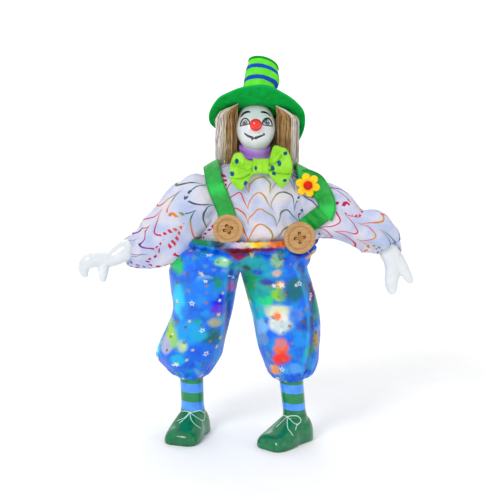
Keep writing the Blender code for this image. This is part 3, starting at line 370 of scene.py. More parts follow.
# Finishes; every colour given to one is a screen colour
class Finish:
    def __init__(self, name):
        self.material = bpy.data.materials.new(name)
        self.material.use_nodes = True
        self.tree = self.material.node_tree
        self.shader = self.tree.nodes["Principled BSDF"]

    def node(self, kind, **settings):
        made = self.tree.nodes.new(kind)
        for key, value in settings.items():
            setattr(made, key, value)
        return made

    def feed(self, socket, value):
        if isinstance(value, bpy.types.NodeSocket):
            self.tree.links.new(value, socket)
        elif isinstance(value, tuple) and len(value) == 3 and socket.type == "RGBA":
            socket.default_value = (*shade(*value), 1.0)
        elif value is not None:
            socket.default_value = value

    # A node with values fed to its inputs, by number or name
    def fed(self, kind, inputs, **settings):
        made = self.node(kind, **settings)
        for key, value in inputs.items():
            self.feed(made.inputs[key], value)
        return made

    def calc(self, operation, *values):
        return self.fed("ShaderNodeMath", dict(enumerate(values)), operation=operation).outputs[0]

    def plus(self, first, second):
        return self.calc("ADD", first, second)

    def minus(self, first, second):
        return self.calc("SUBTRACT", first, second)

    def times(self, first, second):
        return self.calc("MULTIPLY", first, second)

    def size(self, value):
        return self.calc("ABSOLUTE", value)

    # A sine with one wave to each length
    def wave(self, value, length):
        return self.calc("SINE", self.times(value, 2 * math.pi / length))

    def vector(self, operation, *values):
        return self.fed("ShaderNodeVectorMath", dict(enumerate(values)), operation=operation).outputs[0]

    def scaled(self, vector, amount):
        return self.fed("ShaderNodeVectorMath", {0: vector, "Scale": amount}, operation="SCALE").outputs[0]

    def parts(self, vector):
        return tuple(self.fed("ShaderNodeSeparateXYZ", {0: vector}).outputs)

    def together(self, x, y, z=0.0):
        return self.fed("ShaderNodeCombineXYZ", {0: x, 1: y, 2: z}).outputs[0]

    # Object coordinates in millimetres
    def place(self):
        return self.scaled(self.node("ShaderNodeTexCoord").outputs["Object"], 1000.0)

    def flat(self):
        return self.node("ShaderNodeTexCoord").outputs["UV"]

    def field(self, name, output="Fac"):
        return self.node("ShaderNodeAttribute", attribute_name=name).outputs[output]

    def noise(self, vector, scale, detail=3.0, rough=0.55):
        inputs = {"Vector": vector, "Scale": scale, "Detail": detail, "Roughness": rough}
        return self.fed("ShaderNodeTexNoise", inputs).outputs[0]

    # A noise about 0, up to half the amount either way
    def uneven(self, vector, scale, amount, detail=2.0):
        return self.times(self.minus(self.noise(vector, scale, detail), 0.5), amount)

    def cells(self, vector, scale, randomness=1.0, dimensions="3D"):
        inputs = {"Vector": vector, "Scale": scale, "Randomness": randomness}
        return self.fed("ShaderNodeTexVoronoi", inputs, feature="F1", voronoi_dimensions=dimensions).outputs

    def ramp(self, value, *stops, interpolation="LINEAR"):
        made = self.node("ShaderNodeValToRGB")
        made.color_ramp.interpolation = interpolation
        elements = made.color_ramp.elements
        while len(elements) < len(stops):
            elements.new(0.5)
        for element, (position, colour) in zip(elements, stops):
            element.position = position
        for element, (position, colour) in zip(elements, stops):
            linear = shade(*colour) if isinstance(colour, tuple) else (colour,) * 3
            element.color = (*linear, 1.0)
        self.feed(made.inputs[0], value)
        return made.outputs[0]

    # A value turned to a run from one screen colour to another
    def tones(self, value, low, high, start=0.35, end=0.65):
        return self.ramp(value, (start, low), (end, high))

    def mix(self, share, first, second):
        return self.fed("ShaderNodeMix", {0: share, 6: first, 7: second}, data_type="RGBA").outputs[2]

    # 1 where the value is under the edge, fading over soft
    def under(self, value, edge=0.0, soft=0.04):
        inputs = {"Value": value, "From Min": edge - soft, "From Max": edge + soft}
        inputs |= {"To Min": 1.0, "To Max": 0.0}
        return self.fed("ShaderNodeMapRange", inputs, interpolation_type="SMOOTHSTEP").outputs[0]

    def bump(self, height, distance):
        inputs = {"Height": height, "Distance": distance * mm, "Strength": 1.0}
        return self.fed("ShaderNodeBump", inputs).outputs[0]

    def paint(self, colour, roughness, normal=None, **sockets):
        self.feed(self.shader.inputs["Base Color"], colour)
        self.feed(self.shader.inputs["Roughness"], roughness)
        self.feed(self.shader.inputs["Normal"], normal)
        for key, value in sockets.items():
            self.feed(self.shader.inputs[key.replace("_", " ")], value)
        return self.material


# Stage
def makeFloor():
    ring = fullTurn(96)
    radii = np.array([0.5, 900.0, 4000.0])
    grid = np.stack(
        [np.outer(radii, np.cos(ring)), np.outer(radii, np.sin(ring)), np.full((3, 96), -0.02)], -1
    )
    skin = gridSkin(grid, wrap=True, capStart=True)
    if signedArea(skin) < 0:
        turnOver(skin)
    finish = Finish("floor_paper")
    grain = finish.noise(finish.place(), 0.08, 2.0)
    colour = finish.tones(grain, (252, 252, 252), (254, 254, 254), 0.3, 0.7)
    mesh = skinMesh("floor", skin)
    mesh.materials.append(finish.paint(colour, 0.9))
    addObject("floor", mesh)


def signedArea(skin):
    p = skin["points"][skin["quads"]]
    return np.cross(p[:, 1] - p[:, 0], p[:, 2] - p[:, 0])[:, 2].sum()


makeFloor()


# Head
head = {
    "centre": np.array((2.3, 1.0, 130.5)),
    "pitch": 37.0,
    "halfWidth": 7.9,
    "top": 11.7,
    "chin": 9.7,
    "front": 7.3,
    "back": 8.5,
    "noseRadius": 2.55,
    "noseCentre": (0.0, -8.25, -2.9),
    "neckCentre": (2.0, 0.8),
    "neckRadius": 5.4,
    "neckBottom": 113.0,
    # height of a swelling, its place across and up, its half width and half height
    "cheek": (0.28, 4.4, -4.4, 2.2, 2.0),
    "eyeHollow": (0.16, 4.3, -0.4, 1.7, 1.3),
    "chinSwelling": (0.25, 0.0, -8.6, 2.2, 1.2),
}

faceStrokes = (
    # points across and up the face, half width at each
    (((-5.9, 2.7), (-5.1, 3.7), (-3.8, 4.15), (-2.4, 3.8)), (0.16, 0.42, 0.50, 0.24)),
    (((2.4, 3.8), (3.6, 3.95), (4.8, 3.8), (5.95, 2.95)), (0.30, 0.40, 0.32, 0.10)),
    (
        ((-6.15, -1.35), (-5.75, 0.35), (-4.75, 1.15), (-3.6, 0.8), (-2.7, -0.45), (-2.45, -1.55)),
        (0.10, 0.20, 0.22, 0.16, 0.14, 0.10),
    ),
    (((-6.2, -1.45), (-4.3, -1.75), (-2.35, -1.65)), (0.09, 0.12, 0.08)),
    (
        ((2.6, -1.85), (3.1, -0.25), (4.1, 0.9), (5.1, 1.4), (6.1, 0.85), (6.65, -0.55)),
        (0.14, 0.28, 0.34, 0.30, 0.26, 0.14),
    ),
    (((2.55, -1.85), (4.5, -1.95), (6.75, -1.15)), (0.10, 0.13, 0.09)),
    (((-4.35, -5.15), (-3.2, -6.05), (-2.3, -6.5), (-1.35, -6.95)), (0.12, 0.22, 0.26, 0.30)),
    (((-1.35, -6.95), (-0.75, -7.15), (-0.1, -7.05), (0.7, -6.85)), (0.26, 0.16, 0.24, 0.28)),
    (((0.7, -6.85), (1.6, -6.5), (2.6, -6.05), (3.45, -5.5)), (0.30, 0.24, 0.18, 0.10)),
    (((-1.55, -6.6), (-1.45, -7.5)), (0.14, 0.20)),
    (((0.0, -6.75), (0.05, -7.35)), (0.12, 0.16)),
    (((-4.4, -4.85), (-4.15, -5.35)), (0.09, 0.09)),
    (((3.2, -5.25), (3.6, -5.65)), (0.08, 0.09)),
)
farField = 5.0
eyeBalls = (
    # iris centre, radius
    ((-4.35, -0.75), 1.05),
    ((4.45, -0.50), 1.12),
)


# The head's own frame is tipped back about the sideways axis; roll leans it about the depth axis
def tipped(points, origin, roll=0.0):
    lean, tilt = math.radians(roll), math.radians(head["pitch"])
    x = points[..., 0]
    y = points[..., 1] * math.cos(tilt) + points[..., 2] * math.sin(tilt)
    z = -points[..., 1] * math.sin(tilt) + points[..., 2] * math.cos(tilt)
    turned = np.stack(
        [x * math.cos(lean) + z * math.sin(lean), y, z * math.cos(lean) - x * math.sin(lean)], -1
    )
    return turned + origin


# A ball stretched by direction: a point is the half size times the cosines of its two angles
def ballGrid(rows, columns, halfWidth, front, back, up, down, gather=0.0):
    latitude = np.radians(np.linspace(-88.5, 88.5, rows))[:, None]
    walk = np.linspace(-math.pi, math.pi, columns, endpoint=False)[None, :]
    turn = walk - gather * np.sin(walk) - math.pi / 2
    depth = np.where(np.sin(turn) < 0, front, back)
    x = halfWidth * np.cos(latitude) * np.cos(turn)
    y = depth * np.cos(latitude) * np.sin(turn)
    z = np.where(latitude > 0, up, down) * np.sin(latitude) * np.ones_like(turn)
    return np.stack([x, y, z], -1)


def porcelainFinish(name):
    finish = Finish(name)
    place = finish.place()
    cloud = finish.noise(place, 0.25, 2.0)
    colour = finish.tones(cloud, (210, 216, 221), (222, 227, 231), 0.3, 0.7)
    pits = finish.noise(place, 1.6, 3.0)
    return finish, colour, finish.bump(pits, 0.02), place


def swelling(name, x, z, side):
    high, across, up, wide, tall = head[name]
    return high * np.exp(-(((x - side * across) / wide) ** 2 + ((z - up) / tall) ** 2))


# A part of the casting with no strokes near it
def plainSkin(grid, nose):
    fields = {key: np.full(grid.shape[:2], farField) for key in ("ink", "iris", "pupil", "glint")}
    return closedSkin(grid, nose=np.full(grid.shape[:2], nose), **fields)


def makeHead():
    egg = ballGrid(
        230, 240, head["halfWidth"], head["front"], head["back"], head["top"], head["chin"], gather=0.5
    )
    x, y, z = egg[..., 0], egg[..., 1], egg[..., 2]
    # cheeks swell a little under the eyes and the eye hollows sink
    front = limited(-y / head["front"])
    cheek = swelling("cheek", x, z, -1) + swelling("cheek", x, z, 1)
    hollow = swelling("eyeHollow", x, z, -1) + swelling("eyeHollow", x, z, 1)
    egg[..., 1] -= front * (cheek - hollow + swelling("chinSwelling", x, z, 1))
    flatX, flatZ, away = x.ravel(), z.ravel(), y.ravel() > -0.5
    ink = np.full(len(flatX), 1e3)
    for stroke, widths in faceStrokes:
        ink = np.minimum(ink, strokeDistance(flatX, flatZ, stroke, widths) - 0.12)
    rings, pupils, glints = (np.full(len(flatX), 1e3) for _ in range(3))
    for (cx, cz), radius in eyeBalls:
        gap = np.hypot(flatX - cx, flatZ - cz)
        rings = np.minimum(rings, gap - radius)
        pupils = np.minimum(pupils, gap - 0.42 * radius)
        glints = np.minimum(glints, np.hypot(flatX - cx - 0.28, flatZ - cz - 0.34) - 0.22)
    fields = {"ink": ink, "iris": rings, "pupil": pupils, "glint": glints}
    for value in fields.values():
        value[away] = farField
    fields["nose"] = np.zeros(len(flatX))
    skull = closedSkin(tipped(egg, head["centre"]), **fields)
    ball = ballGrid(44, 56, *[head["noseRadius"]] * 5) + np.array(head["noseCentre"])
    nose = plainSkin(tipped(ball, head["centre"]), 1.0)
    level = np.linspace(head["neckBottom"], head["centre"][2] - 3.0, 8)
    rows = np.column_stack(
        [np.full((8, 2), head["neckCentre"]), level, np.full((8, 2), head["neckRadius"])]
    )
    neck = plainSkin(tubeGrid(rows, 64), 0.0)

    finish, glaze, dimples, place = porcelainFinish("painted_porcelain")
    irisTint = finish.tones(finish.noise(place, 1.2, 2.0), (112, 124, 130), (92, 106, 140))
    colour = finish.mix(finish.under(finish.field("iris"), 0.0, 0.06), glaze, irisTint)
    rim = finish.under(finish.size(finish.plus(finish.field("iris"), 0.08)), 0.11, 0.06)
    colour = finish.mix(finish.times(rim, 0.75), colour, (48, 52, 66))
    colour = finish.mix(finish.under(finish.field("pupil"), 0.0, 0.06), colour, (30, 32, 42))
    colour = finish.mix(finish.under(finish.field("glint"), 0.0, 0.05), colour, (245, 248, 252))
    uneven = finish.uneven(place, 3.0, 0.22)
    edge = finish.plus(finish.field("ink"), uneven)
    ink = finish.tones(finish.noise(place, 0.9, 2.0), (14, 14, 20), (38, 40, 62), 0.4, 0.7)
    colour = finish.mix(finish.under(edge, 0.0, 0.07), colour, ink)
    red = finish.tones(finish.noise(place, 0.5, 2.0), (226, 22, 6), (242, 34, 14), 0.3, 0.7)
    colour = finish.mix(finish.field("nose"), colour, red)
    body = finish.paint(colour, 0.16, dimples, Coat_Weight=0.7, Coat_Roughness=0.05, Specular_IOR_Level=0.5)
    makePiece("head_casting", joinSkins(skull, nose, neck), body, "head")


makeHead()
print("head is cast")


# Hat
hat = {
    "shift": (0.8, 0.5, 7.4),
    "roll": 4.0,
    "opening": 7.1,
    "brimRadius": 19.6,
    "brimThickness": 1.0,
    "curlPower": 1.4,
    "curl": (8, -2, -16, -36, -26, -17, -14, -1),
    "crownHeight": 21.4,
    "crownLean": 1.2,
    "crownWall": 0.8,
    "tipTilt": 13.0,
    "tipDrop": 0.9,
    "crownRows": ((0.0, 8.3), (0.18, 7.4), (0.5, 6.9), (0.8, 6.7), (1.0, 6.1)),
    "bands": ((0.865, 0.772), (0.610, 0.512), (0.350, 0.252)),
    # depth, share of the height, spread
    "dent": (1.15, 0.47, 0.07),
    "swell": (0.75, 0.70, 0.13),
}


def hatPlaced(points):
    origin = tipped(np.array(hat["shift"]), head["centre"])
    return tipped(points, origin, hat["roll"])


def feltFinish(name, low, high, fuzz=1.0):
    finish = Finish(name)
    place = finish.place()
    cloud = finish.noise(place, 0.35, 4.0)
    fibre = finish.noise(finish.vector("MULTIPLY", place, (3.0, 3.0, 5.5)), 1.0, 4.0, 0.7)
    both = finish.plus(finish.times(cloud, 0.55), finish.times(fibre, 0.45))
    colour = finish.ramp(both, (0.34, low), (0.62, high))
    curls = finish.cells(place, 2.6)[0]
    height = finish.plus(finish.times(fibre, 1.0), finish.times(curls, 0.5))
    return finish, colour, finish.bump(height, 0.16 * fuzz), place


# The brim's height over the hat's opening grows with a power of the share of its width, by the
# curl at each angle
def makeBrim():
    around, steps = 256, 24
    curl = curveRows([[c] for c in hat["curl"]], around, closed=True)[:, 0]
    half = hat["brimThickness"] / 2
    width = hat["brimRadius"] - hat["opening"]
    roundOff = np.radians(np.linspace(90, -90, 9))
    radii = np.concatenate(
        [
            np.linspace(hat["opening"], hat["brimRadius"] - half, steps),
            hat["brimRadius"] - half + half * np.cos(roundOff[1:-1]),
            np.linspace(hat["brimRadius"] - half, hat["opening"], steps),
        ]
    )
    lifts = np.concatenate([np.full(steps, half), half * np.sin(roundOff[1:-1]), np.full(steps, -half)])
    share = limited((radii - hat["opening"]) / width)[:, None]
    turn = fullTurn(around)[None, :]
    waver = share**2 * (0.22 * np.sin(5 * turn + 1.0) + 0.12 * np.sin(11 * turn))
    height = width * np.tan(np.radians(curl))[None, :] * share ** hat["curlPower"] + lifts[:, None] + waver
    reach = radii[:, None] * (1 + 0.006 * share * np.sin(7 * turn + 0.5))
    grid = np.stack([reach * np.sin(turn), -reach * np.cos(turn), height], -1)
    crease = share * np.ones_like(turn)
    skin = gridSkin(hatPlaced(grid), wrap=True, wrapRows=True, share=crease)
    finish, colour, normal, _ = feltFinish("green_felt", (2, 140, 48), (6, 178, 70))
    # the brim's rounded outer edge is coloured a lighter green
    awayFromRim = finish.under(finish.field("share"), 0.975, 0.02)
    colour = finish.mix(awayFromRim, (20, 172, 82), colour)
    body = finish.paint(colour, 0.95, normal, Specular_IOR_Level=0.1)
    makePiece("felt_brim", skin, body, "hat_brim")
    return finish.material, skin


def makeCrown(brimFelt):
    around, steps = 160, 72
    rows = np.asarray(hat["crownRows"])
    smooth = curveRows(rows, 60)
    share = np.linspace(0, 1, steps)
    turn = fullTurn(around)[None, :]
    base = hat["brimThickness"] / 2 + 0.3

    def wall(shares, shrink):
        level = shares[:, None]
        radius = np.interp(shares, smooth[:, 0], smooth[:, 1])[:, None] - shrink
        side = limited(np.sin(turn)) ** 2
        dent = -hat["dent"][0] * hump(level, *hat["dent"][1:]) * side
        swell = hat["swell"][0] * hump(level, *hat["swell"][1:]) * side
        lump = 0.12 * np.sin(3 * turn + 5 * level) + 0.08 * np.sin(7 * turn - 9 * level)
        radius = radius + dent + swell + lump * np.sin(math.pi * np.clip(level, 0.1, 0.95))
        x = radius * np.sin(turn) + hat["crownLean"] * level**2
        y = -radius * np.cos(turn)
        z = base + hat["crownHeight"] * level + 0.15 * np.sin(2 * turn + 1) * level
        z = z - level**2 * (math.tan(math.radians(hat["tipTilt"])) * radius * np.sin(turn) + hat["tipDrop"])
        return np.stack([x, y, z * np.ones_like(turn)], -1)

    outer = wall(share, 0.0)
    lip = wall(np.array([1.0]), 0.25)
    lip[..., 2] += 0.18
    inner = wall(share[::-3], hat["crownWall"])
    grid = np.concatenate([outer, lip, inner])
    level = np.concatenate([share, [1.0], share[::-3]])[:, None] * np.ones_like(turn)
    skin = gridSkin(hatPlaced(grid), wrap=True, wrapRows=True, level=level)
    finish, colour, normal, place = feltFinish("striped_felt", (82, 214, 44), (112, 236, 66), 0.8)
    wobble = finish.uneven(place, 0.5, 0.012)
    at = finish.plus(finish.field("level"), wobble)
    blue = finish.tones(finish.noise(place, 2.2, 3.0), (22, 66, 168), (34, 86, 196))
    for top, bottom in hat["bands"]:
        middle, half = (top + bottom) / 2, (top - bottom) / 2
        gap = finish.size(finish.minus(at, middle))
        colour = finish.mix(finish.under(gap, half, 0.006), colour, blue)
    body = finish.paint(colour, 0.9, normal, Specular_IOR_Level=0.1)
    makePiece("felt_crown", skin, body, "hat_crown")

    edge = wall(np.array([1.0]), -0.2)[0] + (0.0, 0.0, 0.3)
    middle = edge.mean(0)
    scales = np.array([1.0, 1.012, 1.0, 0.93, 0.7, 0.4, 0.12])
    lifts = np.array([0.0, 0.35, 0.65, 0.86, 0.95, 0.8, 0.74])
    grid = middle + scales[:, None, None] * (edge - middle)[None, :, :]
    grid[..., 2] += lifts[:, None]
    grid = np.concatenate([middle + 0.96 * (edge - middle)[None], grid])
    skin = closedSkin(hatPlaced(grid))
    makePiece("felt_tip", skin, brimFelt, "hat_tip")


felt, brimSkin = makeBrim()
makeCrown(felt)
print("hat is shaped")


# Cloth and casting tools
bigScale = mm * 20.0
clothFrames = 26
clothFeel = {
    "quality": 5,
    "mass": 0.15,
    "air_damping": 3.0,
    "tension_stiffness": 25.0,
    "compression_stiffness": 25.0,
    "shear_stiffness": 8.0,
    "bending_stiffness": 0.05,
    "use_pressure": True,
    "uniform_pressure_force": 0.6,
    "vertex_group_mass": "held",
}
frontOfAll = -100.0


def treeOf(*skins):
    points, faces, start = [], [], 0
    for skin in skins:
        points += skin["points"].tolist()
        faces += (skin["quads"] + start).tolist() + (skin["tris"] + start).tolist()
        start += len(skin["points"])
    return BVHTree.FromPolygons(points, faces)


# Where a ray first meets the tree's faces
def rayHit(tree, start, way):
    hit = tree.ray_cast(Vector(start), Vector(way))[0]
    return None if hit is None else np.array(hit)


# Several closed skins become one casting: a voxel mesh round them all, smoothed by moving each
# point towards the mean of its neighbours
def castTogether(name, skins, voxel, passes):
    whole = skinMesh(name + "_parts", joinSkins(*skins), bigScale, np.zeros(3))
    holder = addObject(name + "_parts", whole)
    remesh = holder.modifiers.new("voxels", "REMESH")
    remesh.mode = "VOXEL"
    remesh.voxel_size = voxel * bigScale
    graph = bpy.context.evaluated_depsgraph_get()
    cast = bpy.data.meshes.new_from_object(holder.evaluated_get(graph))
    points = np.empty(len(cast.vertices) * 3)
    cast.vertices.foreach_get("co", points)
    points = points.reshape(-1, 3) / bigScale
    quads = np.empty(len(cast.loops), int)
    cast.loops.foreach_get("vertex_index", quads)
    quads = quads.reshape(-1, 4)
    bpy.data.objects.remove(holder)
    bpy.data.meshes.remove(whole)
    bpy.data.meshes.remove(cast)
    edges = np.concatenate([quads[:, [k, (k + 1) % 4]] for k in range(4)])
    degree = sum(np.bincount(edges[:, end], minlength=len(points)) for end in (0, 1))
    for k in range(2 * passes):
        total = np.zeros_like(points)
        for axis in range(3):
            total[:, axis] = np.bincount(edges[:, 0], points[edges[:, 1], axis], len(points))
            total[:, axis] += np.bincount(edges[:, 1], points[edges[:, 0], axis], len(points))
        step = 0.5 if k % 2 == 0 else -0.515
        points = points + step * (total / degree[:, None] - points)
    return outward(newSkin(points, quads, np.zeros((len(quads), 4, 2)), {}))


# Cloth: a copy twenty times as large grows by a share, is blown up a little, and buckles;
# no point then moves more than cap millimetres from where it was, and held points stay
def crumple(name, skin, held, growth, cap):
    mesh = skinMesh(name + "_cloth", skin, bigScale, np.zeros(3))
    holder = addObject(name + "_cloth", mesh)
    group = holder.vertex_groups.new(name="held")
    for weight in np.unique(np.round(held, 1)):
        if weight > 0:
            group.add(np.flatnonzero(np.round(held, 1) == weight).tolist(), float(weight), "REPLACE")
    cloth = holder.modifiers.new("cloth", "CLOTH")
    for key, value in clothFeel.items():
        setattr(cloth.settings, key, value)
    cloth.settings.shrink_min = -growth
    cloth.settings.effector_weights.gravity = 0.0
    cloth.collision_settings.use_collision = False
    cloth.collision_settings.use_self_collision = False
    for number in range(1, clothFrames + 1):
        bpy.context.scene.frame_set(number)
    graph = bpy.context.evaluated_depsgraph_get()
    settled = holder.evaluated_get(graph).to_mesh()
    points = np.empty(len(settled.vertices) * 3)
    settled.vertices.foreach_get("co", points)
    move = points.reshape(-1, 3) / bigScale - skin["points"]
    length = np.linalg.norm(move, axis=1)[:, None]
    move *= cap * np.tanh(length / cap) / np.maximum(length, 1e-6)
    skin["points"] = skin["points"] + move
    bpy.context.scene.frame_set(1)
    bpy.data.objects.remove(holder)
    bpy.data.meshes.remove(mesh)
    return skin


def rounded(piece):
    soften = piece.modifiers.new("rounded", "SUBSURF")
    soften.levels = 1
    soften.render_levels = 1
    return piece


# How far points move in along their normals where a fold passes; a fold is a line of (a, b)
# with its width and depth, in the same two measures as the points
def foldDepth(a, b, folds):
    depth = np.zeros_like(a)
    for line, width, deep in folds:
        gap = strokeDistance(a.ravel(), b.ravel(), line, np.zeros(len(line)), 20).reshape(a.shape)
        depth += deep * (hump(gap, 0, width) - 0.45 * np.exp(-(((gap - 1.7 * width) / width) ** 2)))
    return depth


# Trousers
trousers = {
    "seam": -3.9,
    "steps": 96,
    "pleats": 6,
    "pleatDepth": 0.06,
    "waist": (
        # height, overlap of the two ovals, depth centre, half depth, right half width, left half width
        (87.4, 0.0, -3.2, 14.0, 21.8, 30.8), (86.4, 0.0, -3.2, 14.8, 22.6, 31.6),
        (84.8, 0.0, -3.2, 14.6, 22.2, 31.2), (82.6, 0.03, -3.2, 12.4, 20.8, 28.2),
        (80.4, 0.14, -3.5, 15.2, 22.7, 26.2), (77.5, 0.42, -3.5, 14.8, 19.7, 20.3),
        (73.8, 0.82, -3.2, 13.8, 15.6, 15.3), (70.6, 1.0, -3.0, 13.2, 14.5, 13.9),
    ),
    "right": (
        # height, inner edge's distance from the seam, depth centre, half depth, half width
        (63.0, 1.6, -2.0, 12.4, 13.3), (54.0, 3.3, -0.6, 11.6, 12.0), (45.6, 5.3, 1.2, 11.5, 12.3),
        (38.8, 7.1, 2.8, 11.5, 12.8), (33.6, 8.6, 3.8, 11.2, 12.6), (28.4, 11.8, 4.6, 8.4, 9.0),
        (24.2, 15.1, 5.0, 5.7, 5.7),
    ),
    "left": (
        (62.0, 2.4, -4.0, 12.6, 13.9), (52.5, 5.0, -5.0, 12.0, 13.4), (45.0, 6.6, -5.3, 11.6, 12.6),
        (40.0, 7.8, -5.4, 11.0, 11.7), (34.0, 10.3, -5.0, 10.2, 10.2), (29.8, 12.0, -4.6, 8.4, 8.6),
        (26.2, 14.9, -4.5, 5.7, 5.7),
    ),
    "puffTop": (
        # across, height
        (-26.0, 86.0), (-16.0, 85.0), (-10.0, 83.4), (-4.4, 80.0), (-2.0, 81.4), (2.0, 83.6),
        (8.0, 82.6), (14.0, 85.2), (20.0, 84.4),
    ),
    "ledge": 1.7,
    "folds": (
        # the fold's line of across and height, its width, its depth
        (((-7.2, 78.0), (-8.6, 62.3), (-9.8, 47.5), (-11.6, 33.0)), 1.0, 1.3),
        (((19.7, 77.0), (24.6, 62.3), (25.2, 46.2), (22.8, 31.5)), 1.0, 1.2),
        (((-2.5, 74.0), (6.0, 70.0), (12.0, 69.0)), 1.4, 0.7),
        (((2.0, 83.0), (4.5, 78.5), (3.5, 74.0)), 1.1, 0.8),
        (((12.0, 84.0), (14.5, 78.0), (13.0, 72.0)), 1.2, 0.8),
        (((-22.0, 84.0), (-20.0, 78.0), (-21.0, 71.0)), 1.3, 0.7),
        (((-13.0, 83.0), (-12.0, 77.0), (-14.0, 70.0)), 1.2, 0.7),
    ),
    "rightSock": ((-24.1, 3.0), (-24.7, 5.0, 30.2)),
    "leftSock": ((18.6, -5.8), (16.4, -4.5, 32.2)),
}
ankleHeight = 11.2
sockTop = 5.0

dyePatches = (
    # across, height, half width, half height, colour
    (-24.8, 82.4, 2.2, 2.0, (92, 92, 222)),
    (-29.7, 76.6, 2.8, 3.6, (54, 190, 96)),
    (-11.3, 79.5, 3.2, 1.8, (160, 220, 160)),
    (-18.4, 70.3, 3.4, 2.8, (196, 234, 216)),
    (-13.7, 69.8, 2.8, 2.4, (26, 140, 92)),
    (-12.8, 62.0, 3.6, 3.2, (44, 52, 220)),
    (-12.8, 57.5, 2.8, 2.6, (112, 74, 214)),
    (-8.0, 67.0, 1.4, 2.3, (250, 90, 200)),
    (-28.8, 60.0, 2.3, 7.4, (84, 206, 238)),
    (-22.6, 52.0, 3.0, 2.4, (34, 156, 116)),
    (-14.2, 52.0, 2.6, 2.0, (176, 176, 146)),
    (-32.1, 46.0, 2.6, 5.8, (166, 214, 60)),
    (-27.8, 41.7, 1.9, 2.8, (206, 224, 150)),
    (-34.9, 40.0, 2.2, 3.0, (188, 188, 214)),
    (-16.1, 44.6, 4.2, 5.0, (24, 100, 96)),
    (-29.7, 34.9, 3.0, 2.4, (80, 178, 222)),
    (1.0, 76.0, 7.0, 5.0, (20, 160, 176)),
    (4.0, 66.0, 6.0, 6.0, (30, 170, 150)),
    (2.4, 57.0, 3.4, 5.0, (46, 190, 200)),
    (-20.0, 66.0, 6.0, 6.0, (40, 130, 236)),
    (-24.0, 48.0, 6.0, 5.0, (60, 160, 236)),
    (-18.0, 38.0, 6.0, 5.0, (40, 120, 226)),
    (-1.0, 78.6, 5.6, 4.0, (16, 150, 156)),
    (10.8, 80.0, 2.4, 2.8, (150, 192, 146)),
    (-0.5, 69.0, 2.8, 7.4, (18, 150, 84)),
    (10.8, 74.7, 1.6, 1.4, (232, 184, 160)),
    (12.2, 69.6, 1.7, 1.7, (240, 168, 58)),
    (11.7, 65.6, 2.9, 2.7, (140, 200, 38)),
    (18.0, 67.4, 4.2, 4.4, (16, 104, 112)),
    (6.5, 62.5, 2.8, 2.4, (60, 204, 122)),
    (10.8, 58.7, 5.0, 2.6, (222, 226, 190)),
    (12.6, 53.6, 4.6, 4.0, (238, 238, 226)),
    (11.0, 56.6, 1.4, 1.6, (242, 128, 88)),
    (4.4, 50.9, 2.6, 3.8, (146, 194, 242)),
    (12.4, 43.4, 2.6, 3.6, (242, 108, 56)),
    (12.6, 38.4, 3.2, 2.8, (236, 78, 48)),
    (10.3, 32.9, 2.0, 2.4, (242, 156, 84)),
    (18.6, 56.2, 2.8, 2.6, (108, 142, 232)),
    (23.5, 52.8, 2.6, 3.2, (34, 74, 158)),
    (24.0, 41.2, 2.0, 2.4, (36, 162, 122)),
    (16.9, 33.9, 4.2, 2.6, (112, 172, 242)),
    (25.5, 66.0, 1.6, 5.0, (96, 36, 92)),
    (27.0, 57.0, 1.4, 5.0, (20, 142, 112)),
    (27.0, 45.0, 1.2, 4.0, (168, 148, 96)),
    (21.5, 82.4, 4.0, 2.2, (20, 62, 168)),
    (25.0, 79.6, 2.2, 1.2, (206, 158, 58)),
    (16.2, 79.0, 2.2, 4.6, (40, 112, 226)),
    (3.0, 75.0, 2.6, 1.2, (60, 96, 216)),
    (-1.6, 76.6, 1.6, 2.0, (34, 40, 50)),
    (6.8, 70.6, 3.2, 1.1, (76, 60, 150)),
    (-5.6, 57.0, 1.1, 2.6, (200, 170, 90)),
    (-7.2, 53.0, 1.2, 1.8, (120, 80, 200)),
    (5.6, 46.0, 1.8, 2.6, (120, 150, 200)),
    (21.0, 47.0, 3.2, 3.4, (56, 148, 226)),
    (-22.0, 38.6, 3.0, 2.6, (52, 110, 222)),
    (-24.6, 56.6, 3.6, 3.2, (30, 122, 226)),
    (-21.0, 46.8, 3.4, 2.2, (64, 170, 214)),
)
casingPatches = (
    (-22.0, (24, 120, 84)),
    (-17.5, (30, 130, 74)),
    (-12.5, (34, 40, 74)),
    (-8.0, (160, 150, 186)),
    (-4.0, (206, 196, 214)),
    (1.0, (236, 214, 66)),
    (5.0, (244, 190, 48)),
    (9.0, (238, 130, 40)),
    (14.0, (206, 96, 36)),
    (20.0, (40, 70, 150)),
    (27.0, (28, 66, 160)),
)


def sockRing(sock, level, radius, sides):
    ankle, top = sock
    share = (level - ankleHeight) / (top[2] - ankleHeight)
    turn = np.linspace(-math.pi, math.pi, sides + 1)
    x = ankle[0] + share * (top[0] - ankle[0]) + radius * np.cos(turn)
    y = ankle[1] + share * (top[1] - ankle[1]) - radius * np.sin(turn)
    return np.column_stack([x, y, np.full(sides + 1, level)])


# The front goes in along its two long folds and above the line where the puffs end under the casing
def puffTop(x):
    return np.interp(x, *zip(*trousers["puffTop"]))


def pulledIn(x, level, front):
    under = puffTop(x) - level
    ledge = limited(under / 0.9 + 0.5) * np.exp(-(np.clip(under, 0, None) / 6.0) ** 2)
    folds = foldDepth(x, level, trousers["folds"])
    return (folds - trousers["ledge"] * ledge) * limited(front * 2.5)


